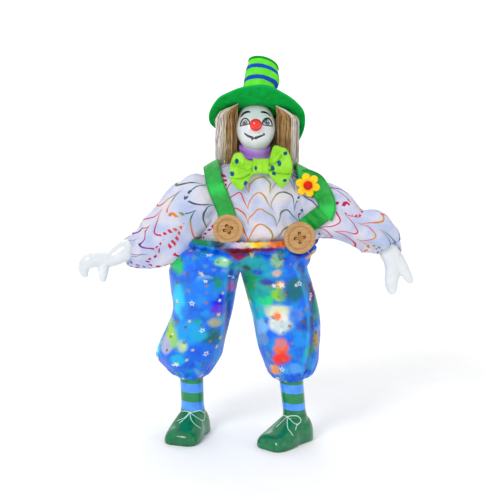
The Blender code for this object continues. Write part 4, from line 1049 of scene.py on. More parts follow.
# Each leg is half an oval down to the crotch and a whole one below it: across = reach from the seam
# plus half width times the cosine of the turn, depth = centre minus half depth times its sine
def legGrid(side, column, rows, sock):
    steps = trousers["steps"]
    waist = [(r[0], r[1], 0.0, r[2], r[3], r[column], k) for k, r in enumerate(trousers["waist"])]
    rim = trousers["waist"][0]
    inside = [
        (rim[0] - drop, 0.0, 0.0, rim[2], rim[3] - 1.4, rim[column] - 1.4, -1) for drop in (4.6, 2.4, 0.5)
    ]
    below = [(r[0], 1.0, r[1], r[2], r[3], r[4], 9) for r in rows]
    above = curveRows(np.array(waist), 56)
    full = np.vstack([above, curveRows(np.array([waist[-1]] + below), 68)[1:]])
    full[:, 1] = limited(full[:, 1])
    full = np.vstack([inside, full])
    height, overlap, inner, centre, depth, width = (full[:, k][:, None] for k in range(6))
    reach = np.arccos(-overlap)
    turn = np.linspace(-1, 1, steps + 1)[None, :] * reach
    fade = np.minimum(1.0, 4 * (1 - np.abs(turn) / reach))
    fade = eased(fade)
    down = limited((70.6 - height) / (70.6 - rows[-1][0]))
    hem = limited(1 - (1 - down) / 0.03)
    pleat = trousers["pleatDepth"] * down**2 * (1 - hem)
    gather = 0.045 * hump(height, 80.6, 2.2) + 0.02 * hump(height, 84.0, 2.0)
    gather += 0.05 * hump(down, 0.93, 0.05)
    swell = 1 + (pleat * np.cos(trousers["pleats"] * turn) + gather * np.cos(21 * turn + 2 * side)) * fade
    across = inner + width * (overlap + np.cos(turn) * swell)
    x = trousers["seam"] + side * across
    y = centre - depth * np.sin(turn) * swell
    level = height + 0.5 * np.sin(3.0 * turn + side) * hump(height, 81.5, 2.5) * fade
    y = y + pulledIn(x, level, limited(np.sin(turn)))
    grid = np.stack([x, y * np.ones_like(x), level], -1)
    socket = sockTop + 0.25
    for lift in (0.0, 2.0, 4.0, 5.8):
        ring = sockRing(sock, rows[-1][0] + lift, socket, steps)
        if side < 0:
            ring[:, 0] = 2 * ring[:, 0].mean() - ring[:, 0] + 2 * (ring[steps // 4, 0] - ring[:, 0].mean())
        grid = np.vstack([grid, ring[None]])
    ease = np.linspace(-1, 1, steps + 1)
    distance = runLength(grid[:, steps // 2])
    around = np.tile(40.0 * ease[None, :] + side * 60.0, (len(grid), 1))
    uv = np.stack([around, np.tile(distance[:, None], (1, steps + 1))], -1)
    casing = np.concatenate([[1, 1, 1], limited((height[3:, 0] - 84.6) / 0.6), np.zeros(4)])
    casing = casing[:, None] * np.ones(steps + 1)
    casing[3:-4] *= limited((level - puffTop(x)) / 0.5 + 0.5)[3:]
    held = np.where(height[3:, 0] > 86.0, 0.9, np.where(height[3:, 0] > 82.0, 0.4, 0.0))
    held = np.concatenate([[1, 1, 1], held, np.ones(4)])
    held[-6:] = 1.0
    return grid, uv, casing, held[:, None] * np.ones(steps + 1)


# The trousers' print colours, with painted shade between the puffs and the casing, and painted shade and a
# painted highlight along each of the two long folds
def printAndShadeColours(points, casing):
    base = np.array(shade(18, 116, 228))
    colours = np.tile(base, (len(points), 1))
    for size, seed, edge, tint in (
        (15, 3, 0.25, (40, 168, 216)),
        (12, 4, 0.62, (24, 150, 96)),
        (11, 5, 0.70, (70, 84, 226)),
        (13, 6, 0.72, (96, 212, 236)),
        (10, 8, 0.92, (156, 212, 70)),
        (10, 9, 0.95, (226, 232, 222)),
        (9, 10, 1.0, (238, 112, 60)),
        (10, 11, 0.8, (22, 72, 150)),
    ):
        field = waveNoise(points, size, seed)
        share = limited((field - edge) / 0.3)[:, None]
        back = np.clip((points[:, 1] + 3.0) / 4.0, 0.25, 1)[:, None]
        colours = colours * (1 - share * back) + np.array(shade(*tint)) * share * back
    front = limited((0.5 - points[:, 1]) / 3.0)
    ragged = 0.07 * waveNoise(points, 3.2, 21) + 0.13 * waveNoise(points, 9.0, 22)
    for cx, cz, halfWidth, halfHeight, tint in dyePatches:
        gap = np.hypot((points[:, 0] - cx) / halfWidth, (points[:, 2] - cz) / halfHeight)
        share = limited((1.4 - gap + ragged) / 0.65)
        share = (eased(share) * front * 0.95)[:, None]
        colours = colours * (1 - share) + np.array(shade(*tint)) * share
    between = limited((points[:, 2] - puffTop(points[:, 0])) / 0.5) * front * (1 - casing)
    gloom = limited((points[:, 0] + 15.0) / 3.0)[:, None]
    shadow = np.array(shade(26, 40, 62)) * (1 - gloom) + np.array(shade(150, 52, 30)) * gloom
    colours = colours * (1 - between[:, None]) + shadow * between[:, None]
    # painted shade along each of the two long folds of the front, and a painted highlight beside it
    for line, _, _ in trousers["folds"][:2]:
        gap = strokeDistance(points[:, 0], points[:, 2], line, np.zeros(len(line)))
        dark = (0.7 * hump(gap, 0, 0.75) * front)[:, None]
        colours = colours * (1 - dark) + np.array(shade(10, 26, 84)) * dark
        away = strokeDistance(points[:, 0] + 1.7, points[:, 2], line, np.zeros(len(line)))
        light = (0.45 * hump(away, 0, 0.6) * front)[:, None]
        colours = colours * (1 - light) + np.array(shade(120, 200, 246)) * light
    stops = np.array([stop for stop, _ in casingPatches])
    tints = np.array([shade(*tint) for _, tint in casingPatches])
    at = points[:, 0] + 1.6 * waveNoise(points, 6.0, 23)
    band = np.column_stack([np.interp(at, stops, tints[:, k]) for k in range(3)])
    share = (casing * limited((2.0 - points[:, 1]) / 4.0))[:, None]
    colours = colours * (1 - share) + band * share
    grey = colours.mean(1)[:, None]
    return limited((grey + (colours - grey) * 1.22) * 1.04)


# Small foil stars: within each cell a five-pointed star is cut by the line from its tip to its notch
def starMasks(finish, vector, scale, tip, chance):
    cell = finish.cells(vector, scale, randomness=0.85, dimensions="2D")
    away = finish.vector("SUBTRACT", vector, cell["Position"])
    x, y, _ = finish.parts(away)
    tone, spin, kind = finish.parts(cell["Color"])
    angle = finish.plus(finish.calc("ARCTAN2", y, x), finish.times(spin, 6.28))
    fifth = 2 * math.pi / 5
    folded = finish.size(finish.minus(finish.calc("FLOORED_MODULO", angle, fifth), fifth / 2))
    reach = finish.calc("SQRT", finish.plus(finish.times(x, x), finish.times(y, y)))
    along = finish.times(reach, finish.calc("COSINE", folded))
    aside = finish.times(reach, finish.calc("SINE", folded))
    notch = 0.45
    dx, dy = notch * math.cos(fifth / 2) - 1, notch * math.sin(fifth / 2)
    size = math.hypot(dx, dy)
    tipSize = finish.times(finish.plus(finish.times(kind, 0.5), 0.75), tip)
    edge = finish.plus(
        finish.times(finish.minus(along, tipSize), dy / size), finish.times(aside, -dx / size)
    )
    wanted = finish.calc("LESS_THAN", tone, chance)
    return edge, wanted, spin, kind


def makeTrousers():
    halves = []
    for side, column, rows, sock in ((-1, 4, "right", "rightSock"), (1, 5, "left", "leftSock")):
        grid, uv, casing, held = legGrid(side, column, trousers[rows], trousers[sock])
        halves.append(awayFromMiddle(gridSkin(grid, uv=uv, casing=casing, held=held)))
    garment = closeRims(weldSkin(joinSkins(*halves), 0.02))
    held = garment["fields"].pop("held")[:, 0]
    garment = crumple("trousers", garment, held, 0.18, 1.1)
    points = garment["points"]
    garment["fields"]["dye"] = printAndShadeColours(points, garment["fields"].pop("casing")[:, 0])

    finish = Finish("printed_satin")
    flat, place = finish.flat(), finish.place()
    dye = finish.field("dye", "Color")
    cloud = finish.noise(place, 0.15, 3.0)
    colour = finish.mix(
        finish.times(finish.ramp(cloud, (0.52, 0.0), (0.62, 1.0)), 0.3), dye, (34, 180, 222)
    )
    deep = finish.noise(finish.vector("ADD", place, (31.0, 7.0, 3.0)), 0.16, 3.0)
    colour = finish.mix(
        finish.times(finish.ramp(deep, (0.55, 0.0), (0.64, 1.0)), 0.35), colour, (20, 56, 190)
    )
    for scale, tip, chance, offset in (
        (0.17, 1.25, 0.6, (0.0, 0.0, 0.0)), (0.15, 0.85, 0.55, (7.7, 3.1, 0.0))
    ):
        moved = finish.vector("ADD", flat, offset)
        edge, wanted, spin, kind = starMasks(finish, moved, scale, tip, chance)
        filled = finish.under(edge, 0.0, 0.07)
        line = finish.under(finish.size(finish.plus(edge, 0.16)), 0.14, 0.06)
        shape = finish.mix(finish.calc("GREATER_THAN", spin, 0.55), filled, line)
        share = finish.times(finish.times(shape, wanted), 0.88)
        foil = finish.ramp(
            kind, (0.0, (146, 122, 84)), (0.36, (96, 88, 78)), (0.66, (224, 206, 146)),
            (0.82, (238, 242, 240)), interpolation="CONSTANT",
        )
        colour = finish.mix(share, colour, foil)
    u, v, _ = finish.parts(flat)
    weft = finish.wave(v, 0.32)
    warp = finish.wave(u, 0.32)
    weave = finish.times(weft, warp)
    height = finish.plus(finish.times(weave, 0.5), finish.noise(place, 1.1, 4.0))
    normal = finish.bump(height, 0.07)
    body = finish.paint(colour, 0.34, normal, Specular_IOR_Level=0.3, Coat_Weight=0.08, Coat_Roughness=0.15)
    piece = rounded(makePiece("satin_trousers", garment, body, "trousers"))
    return garment


trouserSkin = makeTrousers()
print("trousers are sewn")


# Shirt
shirt = {
    "rows": (
        # height, centre across, centre in depth, half width, half depth
        (82.6, 0.2, -3.0, 21.0, 9.8), (84.2, 0.2, -3.0, 22.2, 10.2), (88.0, 4.4, -2.6, 26.8, 10.6),
        (92.0, 4.8, -2.0, 26.0, 10.8), (97.5, 4.2, -1.4, 23.6, 10.6), (104.0, 4.0, -0.8, 22.0, 9.8),
        (109.5, 3.6, -0.2, 21.6, 9.0), (113.2, 3.0, 0.3, 18.4, 8.0), (115.8, 2.4, 0.6, 12.2, 7.3),
        (117.6, 2.0, 0.7, 7.2, 6.7), (118.2, 2.0, 0.8, 5.9, 5.9),
    ),
    "right": (
        (-10.0, 0.0, 102.0, 7.8, 8.5), (-20.5, -0.8, 99.2, 9.4, 11.0), (-30.5, -2.6, 90.2, 9.8, 10.9),
        (-38.5, -4.6, 84.0, 9.0, 9.1), (-44.8, -6.4, 82.1, 6.9, 7.5), (-48.6, -7.6, 81.6, 5.2, 5.6),
        (-49.6, -8.0, 81.6, 4.6, 4.8),
    ),
    "left": (
        (15.0, 0.0, 102.0, 7.8, 8.5), (26.5, -0.8, 97.6, 9.2, 10.1), (34.5, -2.4, 95.0, 9.2, 9.1),
        (41.5, -4.2, 91.6, 7.4, 6.9), (48.2, -6.0, 89.9, 8.1, 8.5), (52.8, -7.6, 86.7, 6.8, 7.4),
        (55.3, -8.5, 83.3, 5.2, 5.5), (55.6, -8.8, 82.7, 4.6, 4.8),
    ),
    "folds": 5,
    "foldDepth": 0.09,
    # distance down the sleeve, place in the row of inks
    "rightInks": ((0, 2.6), (15, 2.55), (20, 2.26), (28, 2.12), (36, 2.0), (46, 1.86)),
    "leftInks": ((0, 2.72), (10, 2.84), (18, 2.95), (26, 3.16), (36, 3.2), (46, 3.66)),
}
bodyFolds = (
    # across and height along the fold, width, depth
    (((-4.0, 112.0), (1.0, 105.0), (2.0, 98.0)), 1.2, 0.45),
    (((12.0, 113.0), (9.0, 104.0), (10.0, 96.0)), 1.3, 0.5),
    (((-6.0, 101.0), (2.0, 95.0), (12.0, 92.0)), 1.1, 0.4),
    (((17.0, 104.0), (14.0, 97.0), (16.0, 90.0)), 1.2, 0.5),
)


def cottonFinish():
    finish = Finish("printed_cotton")
    flat, place = finish.flat(), finish.place()
    u, v, _ = finish.parts(flat)
    drift = finish.uneven(finish.together(u, v), 0.045, 9.0, 1.0)
    shifted = finish.plus(u, finish.uneven(finish.together(u, v), 0.12, 5.0, 1.0))
    # rows of arches, each pair of them inside the next pair
    column = finish.times(shifted, math.pi / 7.2)
    arch = finish.calc("POWER", finish.size(finish.calc("SINE", column)), 0.6)
    level = finish.minus(finish.plus(v, drift), finish.times(arch, 7.0))
    row = finish.calc("DIVIDE", level, 6.6)
    offset = finish.minus(finish.calc("FRACT", row), 0.5)
    # how steep the arch is, so that the line keeps one width
    slope = finish.size(finish.calc("COSINE", column))
    steep = finish.plus(1.0, finish.times(slope, 1.5))
    gap = finish.calc("DIVIDE", finish.times(finish.size(offset), 6.6), steep)
    line = finish.under(gap, 0.22, 0.08)
    flatter = finish.wave(shifted, 1.6)
    steeper = finish.wave(v, 1.6)
    beads = finish.mix(finish.calc("GREATER_THAN", slope, 0.45), flatter, steeper)
    size = finish.plus(0.22, finish.times(finish.noise(finish.together(u, v, 9.0), 0.08, 1.0), 0.5))
    near = finish.under(finish.minus(gap, size), 0.0, 0.06)
    beadLine = finish.times(near, finish.under(finish.times(beads, -1.0), 0.1, 0.3))
    pattern = finish.mix(finish.calc("GREATER_THAN", finish.field("dotted"), 0.5), line, beadLine)
    ink = finish.ramp(
        finish.calc("FRACT", finish.field("hue")),
        (0.0, (170, 24, 110)),
        (0.10, (206, 20, 84)),
        (0.22, (214, 60, 70)),
        (0.33, (222, 142, 40)),
        (0.43, (160, 150, 50)),
        (0.54, (56, 104, 92)),
        (0.66, (34, 74, 110)),
        (0.78, (44, 36, 116)),
        (0.90, (122, 40, 150)),
        (1.0, (170, 24, 110)),
    )
    tint = finish.noise(place, 0.11, 2.0)
    ground = finish.ramp(tint, (0.35, (184, 196, 230)), (0.5, (208, 211, 232)), (0.66, (226, 219, 226)))
    colour = finish.mix(pattern, ground, ink)
    weft = finish.wave(v, 0.36)
    warp = finish.wave(u, 0.36)
    height = finish.plus(finish.times(finish.times(weft, warp), 0.6), finish.noise(place, 1.2, 4.0))
    normal = finish.bump(height, 0.08)
    return finish.paint(colour, 0.78, normal, Specular_IOR_Level=0.2)


# Where the print's lines turn to dots, and the lines' place in the row of inks
def printFields(hue, dotted, like):
    return {"hue": hue * np.ones_like(like), "dotted": dotted * np.ones_like(like)}


def sleeveSkin(rows, side):
    count, sides = 84, 96
    fine = curveRows(rows, count)
    along = np.linspace(0, 1, count)[:, None]
    turn = fullTurn(sides)[None, :]
    swell = 1 + shirt["foldDepth"] * (0.4 + along) * np.cos(shirt["folds"] * turn + 4 * along)
    swell += 0.035 * np.sin(3 * turn - 11 * along) + 0.02 * np.sin(22 * along + 2 * turn)
    swell += 0.05 * hump(along, 0.93, 0.06) * np.cos(17 * turn + side)
    grid = tubeGrid(fine, sides, swell)
    length = runLength(fine[:, :3])
    around = np.linspace(0, 43.2, sides + 1)
    uv = np.stack(np.broadcast_arrays(around[None, :] + 70.0 * side + 200.0, 0.75 * length[:, None]), -1)
    held = np.where((along < 0.12) | (along > 0.97), 1.0, np.where(along > 0.92, 0.5, 0.0))
    held = held * np.ones_like(turn)
    hue = np.interp(length, *zip(*shirt["rightInks" if side < 0 else "leftInks"]))[:, None]
    hue = hue + 0.06 * np.sin(2 * turn + along * 5)
    dotted = 1.0 * (np.sin(2 * turn + 7 * along + side) + 1.6 * along > 1.25)
    inks = printFields(hue, dotted, along * np.ones_like(turn))
    return closedSkin(grid, uv=uv, held=held, **inks)


def makeShirt():
    count, sides = 96, 176
    fine = curveRows(shirt["rows"], count)
    turn = fullTurn(sides)[None, :] + math.pi / 2
    level, cx, cy, halfWidth, halfDepth = (fine[:, k][:, None] for k in range(5))
    x = cx + halfWidth * np.cos(turn)
    front = limited(-np.sin(turn))
    sink = foldDepth(x, level * np.ones_like(turn), bodyFolds) * front
    sag = 1.5 * hump(level, 90.0, 3.0) * front
    y = cy + (halfDepth + sag) * np.sin(turn) + sink
    grid = np.stack([x, y, level * np.ones_like(turn)], -1)
    around = np.linspace(0, 108.0, sides + 1)
    height = np.concatenate([[0], np.cumsum(np.hypot(np.diff(fine[:, 0]), 0.5 * np.diff(fine[:, 4])))])
    uv = np.stack(np.broadcast_arrays(around[None, :], height[:, None]), -1)
    held = np.where((level < 86.0) | (level > 116.0), 1.0, 0.0) * np.ones_like(turn)
    at = around[None, :sides]
    inks = printFields(
        0.36 + (at - 54.0) / 46.0 + 2.0, 1.0 * ((at < 43.0) | (at > 66.0)), level * np.ones_like(turn)
    )
    body = closedSkin(grid, uv=uv, held=held, **inks)
    parts = [("body", body, 0.12, 0.8), ("right_sleeve", sleeveSkin(shirt["right"], -1), 0.22, 1.4)]
    parts.append(("left_sleeve", sleeveSkin(shirt["left"], 1), 0.22, 1.4))
    settled = []
    for name, skin, growth, cap in parts:
        heldPart = skin["fields"].pop("held")[:, 0]
        settled.append(crumple(name, skin, heldPart, growth, cap))
    whole = joinSkins(*settled)
    piece = rounded(makePiece("cotton_shirt", whole, cottonFinish(), "shirt"))
    return whole


shirtSkin = makeShirt()
print("shirt is sewn")


# Arms and legs
arms = {
    "right": (
        (
            (-44.0, -6.2, 83.6, 3.6, 3.6), (-50.0, -8.2, 81.8, 4.2, 4.3),
            (-56.0, -10.0, 78.8, 3.1, 3.3), (-61.0, -11.3, 78.8, 3.0, 3.3),
            (-64.8, -12.1, 78.3, 2.8, 3.1), (-66.8, -12.5, 76.3, 2.3, 2.6),
            (-67.0, -12.6, 73.8, 1.6, 1.9), (-66.2, -12.6, 71.9, 0.9, 1.0),
        ),
        (
            (-59.0, -11.2, 78.6, 2.6, 2.8), (-59.3, -11.7, 75.0, 2.2, 2.3),
            (-59.5, -12.2, 72.0, 1.7, 1.8), (-59.5, -12.5, 69.8, 0.9, 1.0),
        ),
    ),
    "left": (
        (
            (52.0, -7.4, 87.8, 3.6, 3.6), (55.7, -8.8, 82.6, 4.0, 4.2), (57.9, -10.0, 78.0, 3.3, 4.0),
            (57.8, -11.0, 73.5, 2.6, 3.3), (57.3, -11.8, 69.3, 2.1, 2.8), (57.7, -12.2, 66.0, 1.5, 2.0),
            (58.0, -12.3, 64.5, 0.8, 0.9),
        ),
        (
            (59.2, -10.6, 79.2, 2.6, 3.0), (62.0, -11.2, 74.8, 2.1, 2.4), (64.2, -11.8, 71.2, 1.5, 1.8),
            (65.4, -12.1, 69.2, 0.9, 1.0),
        ),
    ),
}


def makeArms():
    finish, glaze, dimples, _ = porcelainFinish("glazed_porcelain")
    body = finish.paint(glaze, 0.14, dimples, Coat_Weight=0.8, Coat_Roughness=0.05)
    for side, (forearm, thumb) in arms.items():
        skins = [
            closedSkin(tubeGrid(curveRows(rows, 40), 48))
            for rows in (forearm, thumb)
        ]
        cast = castTogether(side + "_arm", skins, 0.26, 9)
        makePiece(side + "_porcelain_arm", cast, body, side + "_arm")


makeArms()

shoe = {
    "length": 25.0,
    "toeWidth": 15.2,
    "heelWidth": 13.9,
    "toeHeight": 7.1,
    "heelReach": 7.0,
}
legs = {
    # ankle, top of the sock, turn, heights where the sock's colours change, laces as strokes
    # seen from the camera's height: across, up the view
    "right": {
        "sock": trousers["rightSock"],
        "turn": 18.0,
        "bands": (10.9, 14.6, 18.5, 22.4, 26.2),
        "laces": (
            ((-25.2, 9.7), (-26.9, 10.1), (-28.5, 10.0)),
            ((-25.2, 9.7), (-27.2, 7.7), (-30.3, 6.3)),
            ((-25.2, 9.7), (-26.3, 8.1), (-29.4, 5.5)),
            (
                (-25.2, 9.7), (-23.6, 9.8), (-21.2, 10.3), (-19.4, 9.4), (-18.9, 7.9), (-19.6, 6.1),
                (-21.4, 7.2), (-23.6, 8.6), (-25.2, 9.7),
            ),
            ((-25.2, 9.7), (-24.6, 7.2), (-23.6, 5.8), (-22.1, 4.5), (-20.5, 3.4)),
        ),
    },
    "left": {
        "sock": trousers["leftSock"],
        "turn": 42.0,
        "bands": (13.9, 16.8, 21.0, 24.8, 28.6),
        "laces": (
            ((15.4, 8.6), (13.5, 8.8), (11.7, 7.4)),
            ((15.4, 8.6), (13.5, 6.8), (10.9, 4.5)),
            (
                (15.4, 8.6), (17.5, 9.0), (19.7, 8.8), (21.1, 7.2), (20.4, 5.9), (18.9, 5.7), (17.1, 7.0),
                (15.4, 8.6),
            ),
            ((20.4, 5.9), (19.3, 5.0), (18.8, 3.4)),
            ((15.4, 8.6), (15.5, 4.5), (16.6, 2.8), (17.7, 1.2)),
        ),
    },
}


# Upright slices from heel to toe; each is a flat sole under a rounded arch of that width and height
def shoeGrid(turnDegrees, ankle):
    heel, toe, high = shoe["heelWidth"], shoe["toeWidth"], ankleHeight
    slices = curveRows(
        (
            (0.00, 0.30 * heel, 0.50 * high),
            (0.02, 0.58 * heel, 0.70 * high),
            (0.07, 0.84 * heel, 0.88 * high),
            (0.20, heel, 0.98 * high),
            (0.42, 0.95 * heel, high),
            (0.56, 0.5 * (heel + toe), 0.84 * high),
            (0.74, toe, shoe["toeHeight"]),
            (0.89, 0.93 * toe, 0.80 * shoe["toeHeight"]),
            (0.965, 0.76 * toe, 0.58 * shoe["toeHeight"]),
            (1.00, 0.50 * toe, 0.32 * shoe["toeHeight"]),
        ),
        60,
    )
    share, width, height = (slices[:, k][:, None] for k in range(3))
    turn = np.linspace(0, math.pi, 70)[None, :]
    side = np.sign(np.cos(turn)) * np.abs(np.cos(turn)) ** 0.75
    upperX = side * width / 2
    upperZ = 0.7 + np.sin(turn) ** 0.85 * (height - 0.7)
    soleX = np.linspace(-0.47, 0.47, 20)[None, :] * width
    x = np.concatenate([upperX, soleX], 1)
    z = np.concatenate([upperZ, np.zeros_like(soleX)], 1)
    y = (shoe["heelReach"] - share * shoe["length"]) * np.ones_like(x)
    angle = -math.radians(turnDegrees)
    turnedX = x * math.cos(angle) - y * math.sin(angle) + ankle[0]
    turnedY = x * math.sin(angle) + y * math.cos(angle) + ankle[1]
    return np.stack([turnedX, turnedY, z], -1)


# Strokes seen along the view's line of sight are dropped on a casting; returns how far each point is
def laidLines(skin, strokes, halfWidth):
    tree = treeOf(skin)
    rise = math.radians(view["elevation"])
    ahead = np.array((0.0, math.cos(rise), -math.sin(rise)))
    upward = np.array((0.0, math.sin(rise), math.cos(rise)))
    best = np.full(len(skin["points"]), 9.0)
    for stroke in strokes:
        path = curveRows(stroke, 10 * len(stroke))
        laid = []
        for across, up in path:
            start = np.array((across, 0.0, 0.0)) + up * upward - 200.0 * ahead
            hit = rayHit(tree, start, ahead)
            if hit is not None:
                laid.append(hit)
        for start, end in zip(laid[:-1], laid[1:]):
            way = end - start
            share = limited((skin["points"] - start) @ way / max(way @ way, 1e-9))
            gap = np.linalg.norm(skin["points"] - start - share[:, None] * way, axis=1)
            best = np.minimum(best, gap - halfWidth)
    return best


def legFinish():
    finish = Finish("painted_leg")
    place = finish.place()
    cloud = finish.noise(place, 0.3, 3.0)
    shoeGreen = finish.tones(cloud, (4, 104, 62), (8, 126, 78))
    sockGreen = finish.tones(cloud, (6, 122, 66), (14, 140, 80))
    sockBlue = finish.tones(cloud, (56, 140, 240), (76, 158, 250))
    uneven = finish.uneven(place, 1.2, 0.3)
    band = finish.plus(finish.field("band"), uneven)
    colour = finish.mix(finish.under(band, 0.0, 0.09), sockGreen, sockBlue)
    top = finish.plus(finish.field("shoe"), uneven)
    colour = finish.mix(finish.under(top, 0.0, 0.09), colour, shoeGreen)
    # the lowest 0.9 mm of the shoe is mixed a little towards a darker green
    sole = finish.under(finish.parts(place)[2], 0.9, 0.15)
    colour = finish.mix(finish.times(sole, 0.35), colour, (8, 84, 48))
    lace = finish.plus(finish.field("lace"), finish.times(uneven, 0.35))
    colour = finish.mix(finish.times(finish.under(lace, 0.0, 0.07), 0.92), colour, (206, 244, 226))
    height = finish.plus(finish.noise(place, 0.9, 2.0), finish.times(finish.under(lace, 0.0, 0.12), 0.8))
    return finish.paint(
        colour, 0.16, finish.bump(height, 0.05), Specular_IOR_Level=0.35, Coat_Weight=0.35,
        Coat_Roughness=0.04,
    )


def makeLegs():
    body = legFinish()
    for side, leg in legs.items():
        sock = leg["sock"]
        ankle, top = sock
        levels = np.array([5.0, 8.0, 10.5, 12.0, 13.5, 20.0, 26.0, top[2]])
        radii = np.array([5.3, 5.3, 5.1, 4.8, 4.75, 4.85, 5.0, 5.0])
        rings = [sockRing(sock, level, radius, 72)[:-1] for level, radius in zip(levels, radii)]
        stem = closedSkin(np.array(rings))
        upper = closedSkin(shoeGrid(leg["turn"], ankle))
        cast = castTogether(side + "_leg", [stem, upper], 0.24, 6)
        points = cast["points"]
        points[:, 2] = np.maximum(points[:, 2], 0.0)
        level = points[:, 2] + 0.05 * (points[:, 0] - ankle[0])
        edges = leg["bands"]
        band = np.minimum.reduce(
            [np.abs(level - (a + b) / 2) - (b - a) / 2 for a, b in zip(edges[0::2], edges[1::2])]
        )
        cast["fields"]["band"] = band[:, None]
        cast["fields"]["shoe"] = (level - edges[0])[:, None]
        cast["fields"]["lace"] = laidLines(cast, leg["laces"], 0.17)[:, None]
        makePiece(side + "_porcelain_leg", cast, body, side + "_leg")


makeLegs()
print("porcelain is cast")


# Braces
braces = {
    "width": 7.2,
    "thickness": 0.35,
    "lift": 0.45,
    "sag": 0.3,
    "rise": 1.8,
    "axis": (0.0, 104.0),
    "tilt": 0.5,
    "right": (
        ((-8.6, 93.0), (-9.6, 98.4), (-12.3, 105.0), (-14.2, 109.6)),
        ((-14.0, 104.0), (-10.8, 96.5), (-9.0, 90.2)),
    ),
    "left": (
        ((29.6, 96.4), (30.9, 100.6), (29.8, 104.8), (26.6, 108.6), (22.4, 111.0)),
        ((18.0, 104.0), (14.2, 96.5), (12.2, 90.2)),
    ),
    "leftEnd": ((19.8, 90.6), (24.2, 94.0), (29.0, 98.2)),
}


# A place on a brace is a point inside the shirt and the way out from it
def braceLine(front, back):
    depth, high = braces["axis"]
    places = [(x, depth, z) for x, z in curveRows(front, 10)]
    outwards = [(0.0, -1.0, 0.0)] * 10
    if back:
        tilt = math.copysign(braces["tilt"], front[-1][0])
        for share in np.linspace(0, 1, 7):
            lean = math.radians(50 + 105 * share)
            x = front[-1][0] * (1 - share) + back[0][0] * share - 9 * tilt * math.sin(lean)
            places.append((x, depth, high))
            outwards.append((tilt * math.sin(lean), -math.cos(lean), math.sin(lean)))
        places += [(x, depth, z) for x, z in curveRows(back, 5)]
        outwards += [(0.0, 1.0, 0.0)] * 5
    outwards = np.array(outwards)
    return np.array(places), unit(outwards)


# The greatest of each height and its neighbours up to some steps along and across the ribbon
def highestNear(heights, along, across):
    padded = np.pad(heights, ((along, along), (across, across)), "edge")
    windows = np.lib.stride_tricks.sliding_window_view(padded, (2 * along + 1, 2 * across + 1))
    return windows.max((2, 3))


# A ribbon laid on the shirt: rays from outside find the cloth under each point of its width,
# and the ribbon lies over the highest points near it
def ribbonSkin(front, back, tree):
    places, outwards = braceLine(front, back)
    found = []
    for place, out in zip(places, outwards):
        hit = rayHit(tree, place + 60 * out, -out)
        found.append(place if hit is None else hit)
    finer = 12 * (len(places) - 1) + 1
    centres = curveRows(found, finer)
    normals = curveRows(outwards, finer)
    normals = unit(normals)
    for _ in range(30):
        centres[1:-1] = (centres[:-2] + 2 * centres[1:-1] + centres[2:]) / 4
    heading = np.gradient(centres, axis=0)
    edge = np.cross(heading, normals)
    edge = unit(edge)
    sides = np.linspace(-1, 1, 15)
    heights = np.zeros((finer, len(sides)))
    for k in range(finer):
        for column, side in enumerate(sides):
            point = centres[k] + side * edge[k] * braces["width"] / 2
            hit = rayHit(tree, point + 30 * normals[k], -normals[k])
            if hit is not None:
                heights[k, column] = (hit - point) @ normals[k]
    heights = np.maximum(heights, -braces["sag"]) + braces["rise"] * limited(normals[:, 2:]) ** 2
    near = highestNear(heights, 6, 2)
    for _ in range(8):
        near[1:-1] = (near[:-2] + 2 * near[1:-1] + near[2:]) / 4
        near[:, 1:-1] = (near[:, :-2] + 2 * near[:, 1:-1] + near[:, 2:]) / 4
    line = centres[:, None, :] + sides[None, :, None] * edge[:, None, :] * braces["width"] / 2
    low = line + normals[:, None, :] * (near + braces["lift"])[:, :, None]
    top = low + normals[:, None, :] * braces["thickness"]
    grid = np.concatenate([low, top[:, ::-1]], 1)
    length = runLength(centres)
    across = np.concatenate([sides, sides[::-1], sides[:1]]) * braces["width"] / 2
    uv = np.stack(np.broadcast_arrays(across[None, :], length[:, None]), -1)
    return outward(closedSkin(grid, uv=uv))


def satinFinish(name, low, high, edgeTint, glow):
    finish = Finish(name)
    flat, place = finish.flat(), finish.place()
    u, v, _ = finish.parts(flat)
    cloud = finish.noise(place, 0.22, 3.0)
    colour = finish.ramp(cloud, (0.35, low), (0.65, high))
    # the satin catches the light in broad bands across the ribbon
    bands = finish.plus(0.5, finish.times(finish.wave(v, 13.0), 0.5))
    colour = finish.mix(finish.times(finish.calc("POWER", bands, 2.5), 0.6), colour, glow)
    selvage = finish.under(finish.times(finish.size(u), -1.0), -2.85, 0.05)
    colour = finish.mix(finish.times(selvage, 0.5), colour, edgeTint)
    rib = finish.wave(v, 0.22)
    warp = finish.wave(u, 0.30)
    height = finish.plus(finish.times(rib, 0.35), finish.times(warp, 0.25))
    height = finish.plus(height, finish.noise(place, 0.8, 2.0))
    normal = finish.bump(height, 0.05)
    return finish.paint(colour, 0.28, normal, Specular_IOR_Level=0.45)


def makeBraces():
    satin = satinFinish("green_satin", (2, 140, 42), (8, 176, 58), (2, 120, 38), (30, 222, 88))
    tree = treeOf(shirtSkin)
    laid = {}
    for side in ("right", "left"):
        skin = ribbonSkin(*braces[side], tree)
        if side == "left":
            skin = joinSkins(skin, ribbonSkin(braces["leftEnd"], None, treeOf(shirtSkin, skin)))
        makePiece(side + "_satin_brace", skin, satin, side + "_brace")
        laid[side] = skin
    return laid


braceSkins = makeBraces()
print("braces are laid")


# Buttons, flower, collar and bow
buttons = {
    # middle, radius, turn, distance of the holes from the middle, angle of the first hole
    "right": ((-8.8, 92.5), 6.0, 0.0, 1.45, 20),
    "left": ((19.6, 89.0), 6.5, 14.0, 1.85, 5),
    "thickness": 2.0,
    "rimWidth": 1.5,
    "rimDepth": 0.5,
    "bevel": 0.3,
    "standOff": 0.35,
    "holeRadius": 0.62,
    "holeDepth": 1.3,
    "threadRadius": 0.14,
    "threadGap": 0.15,
    "threadLift": 0.28,
    "threadCross": 0.16,
}


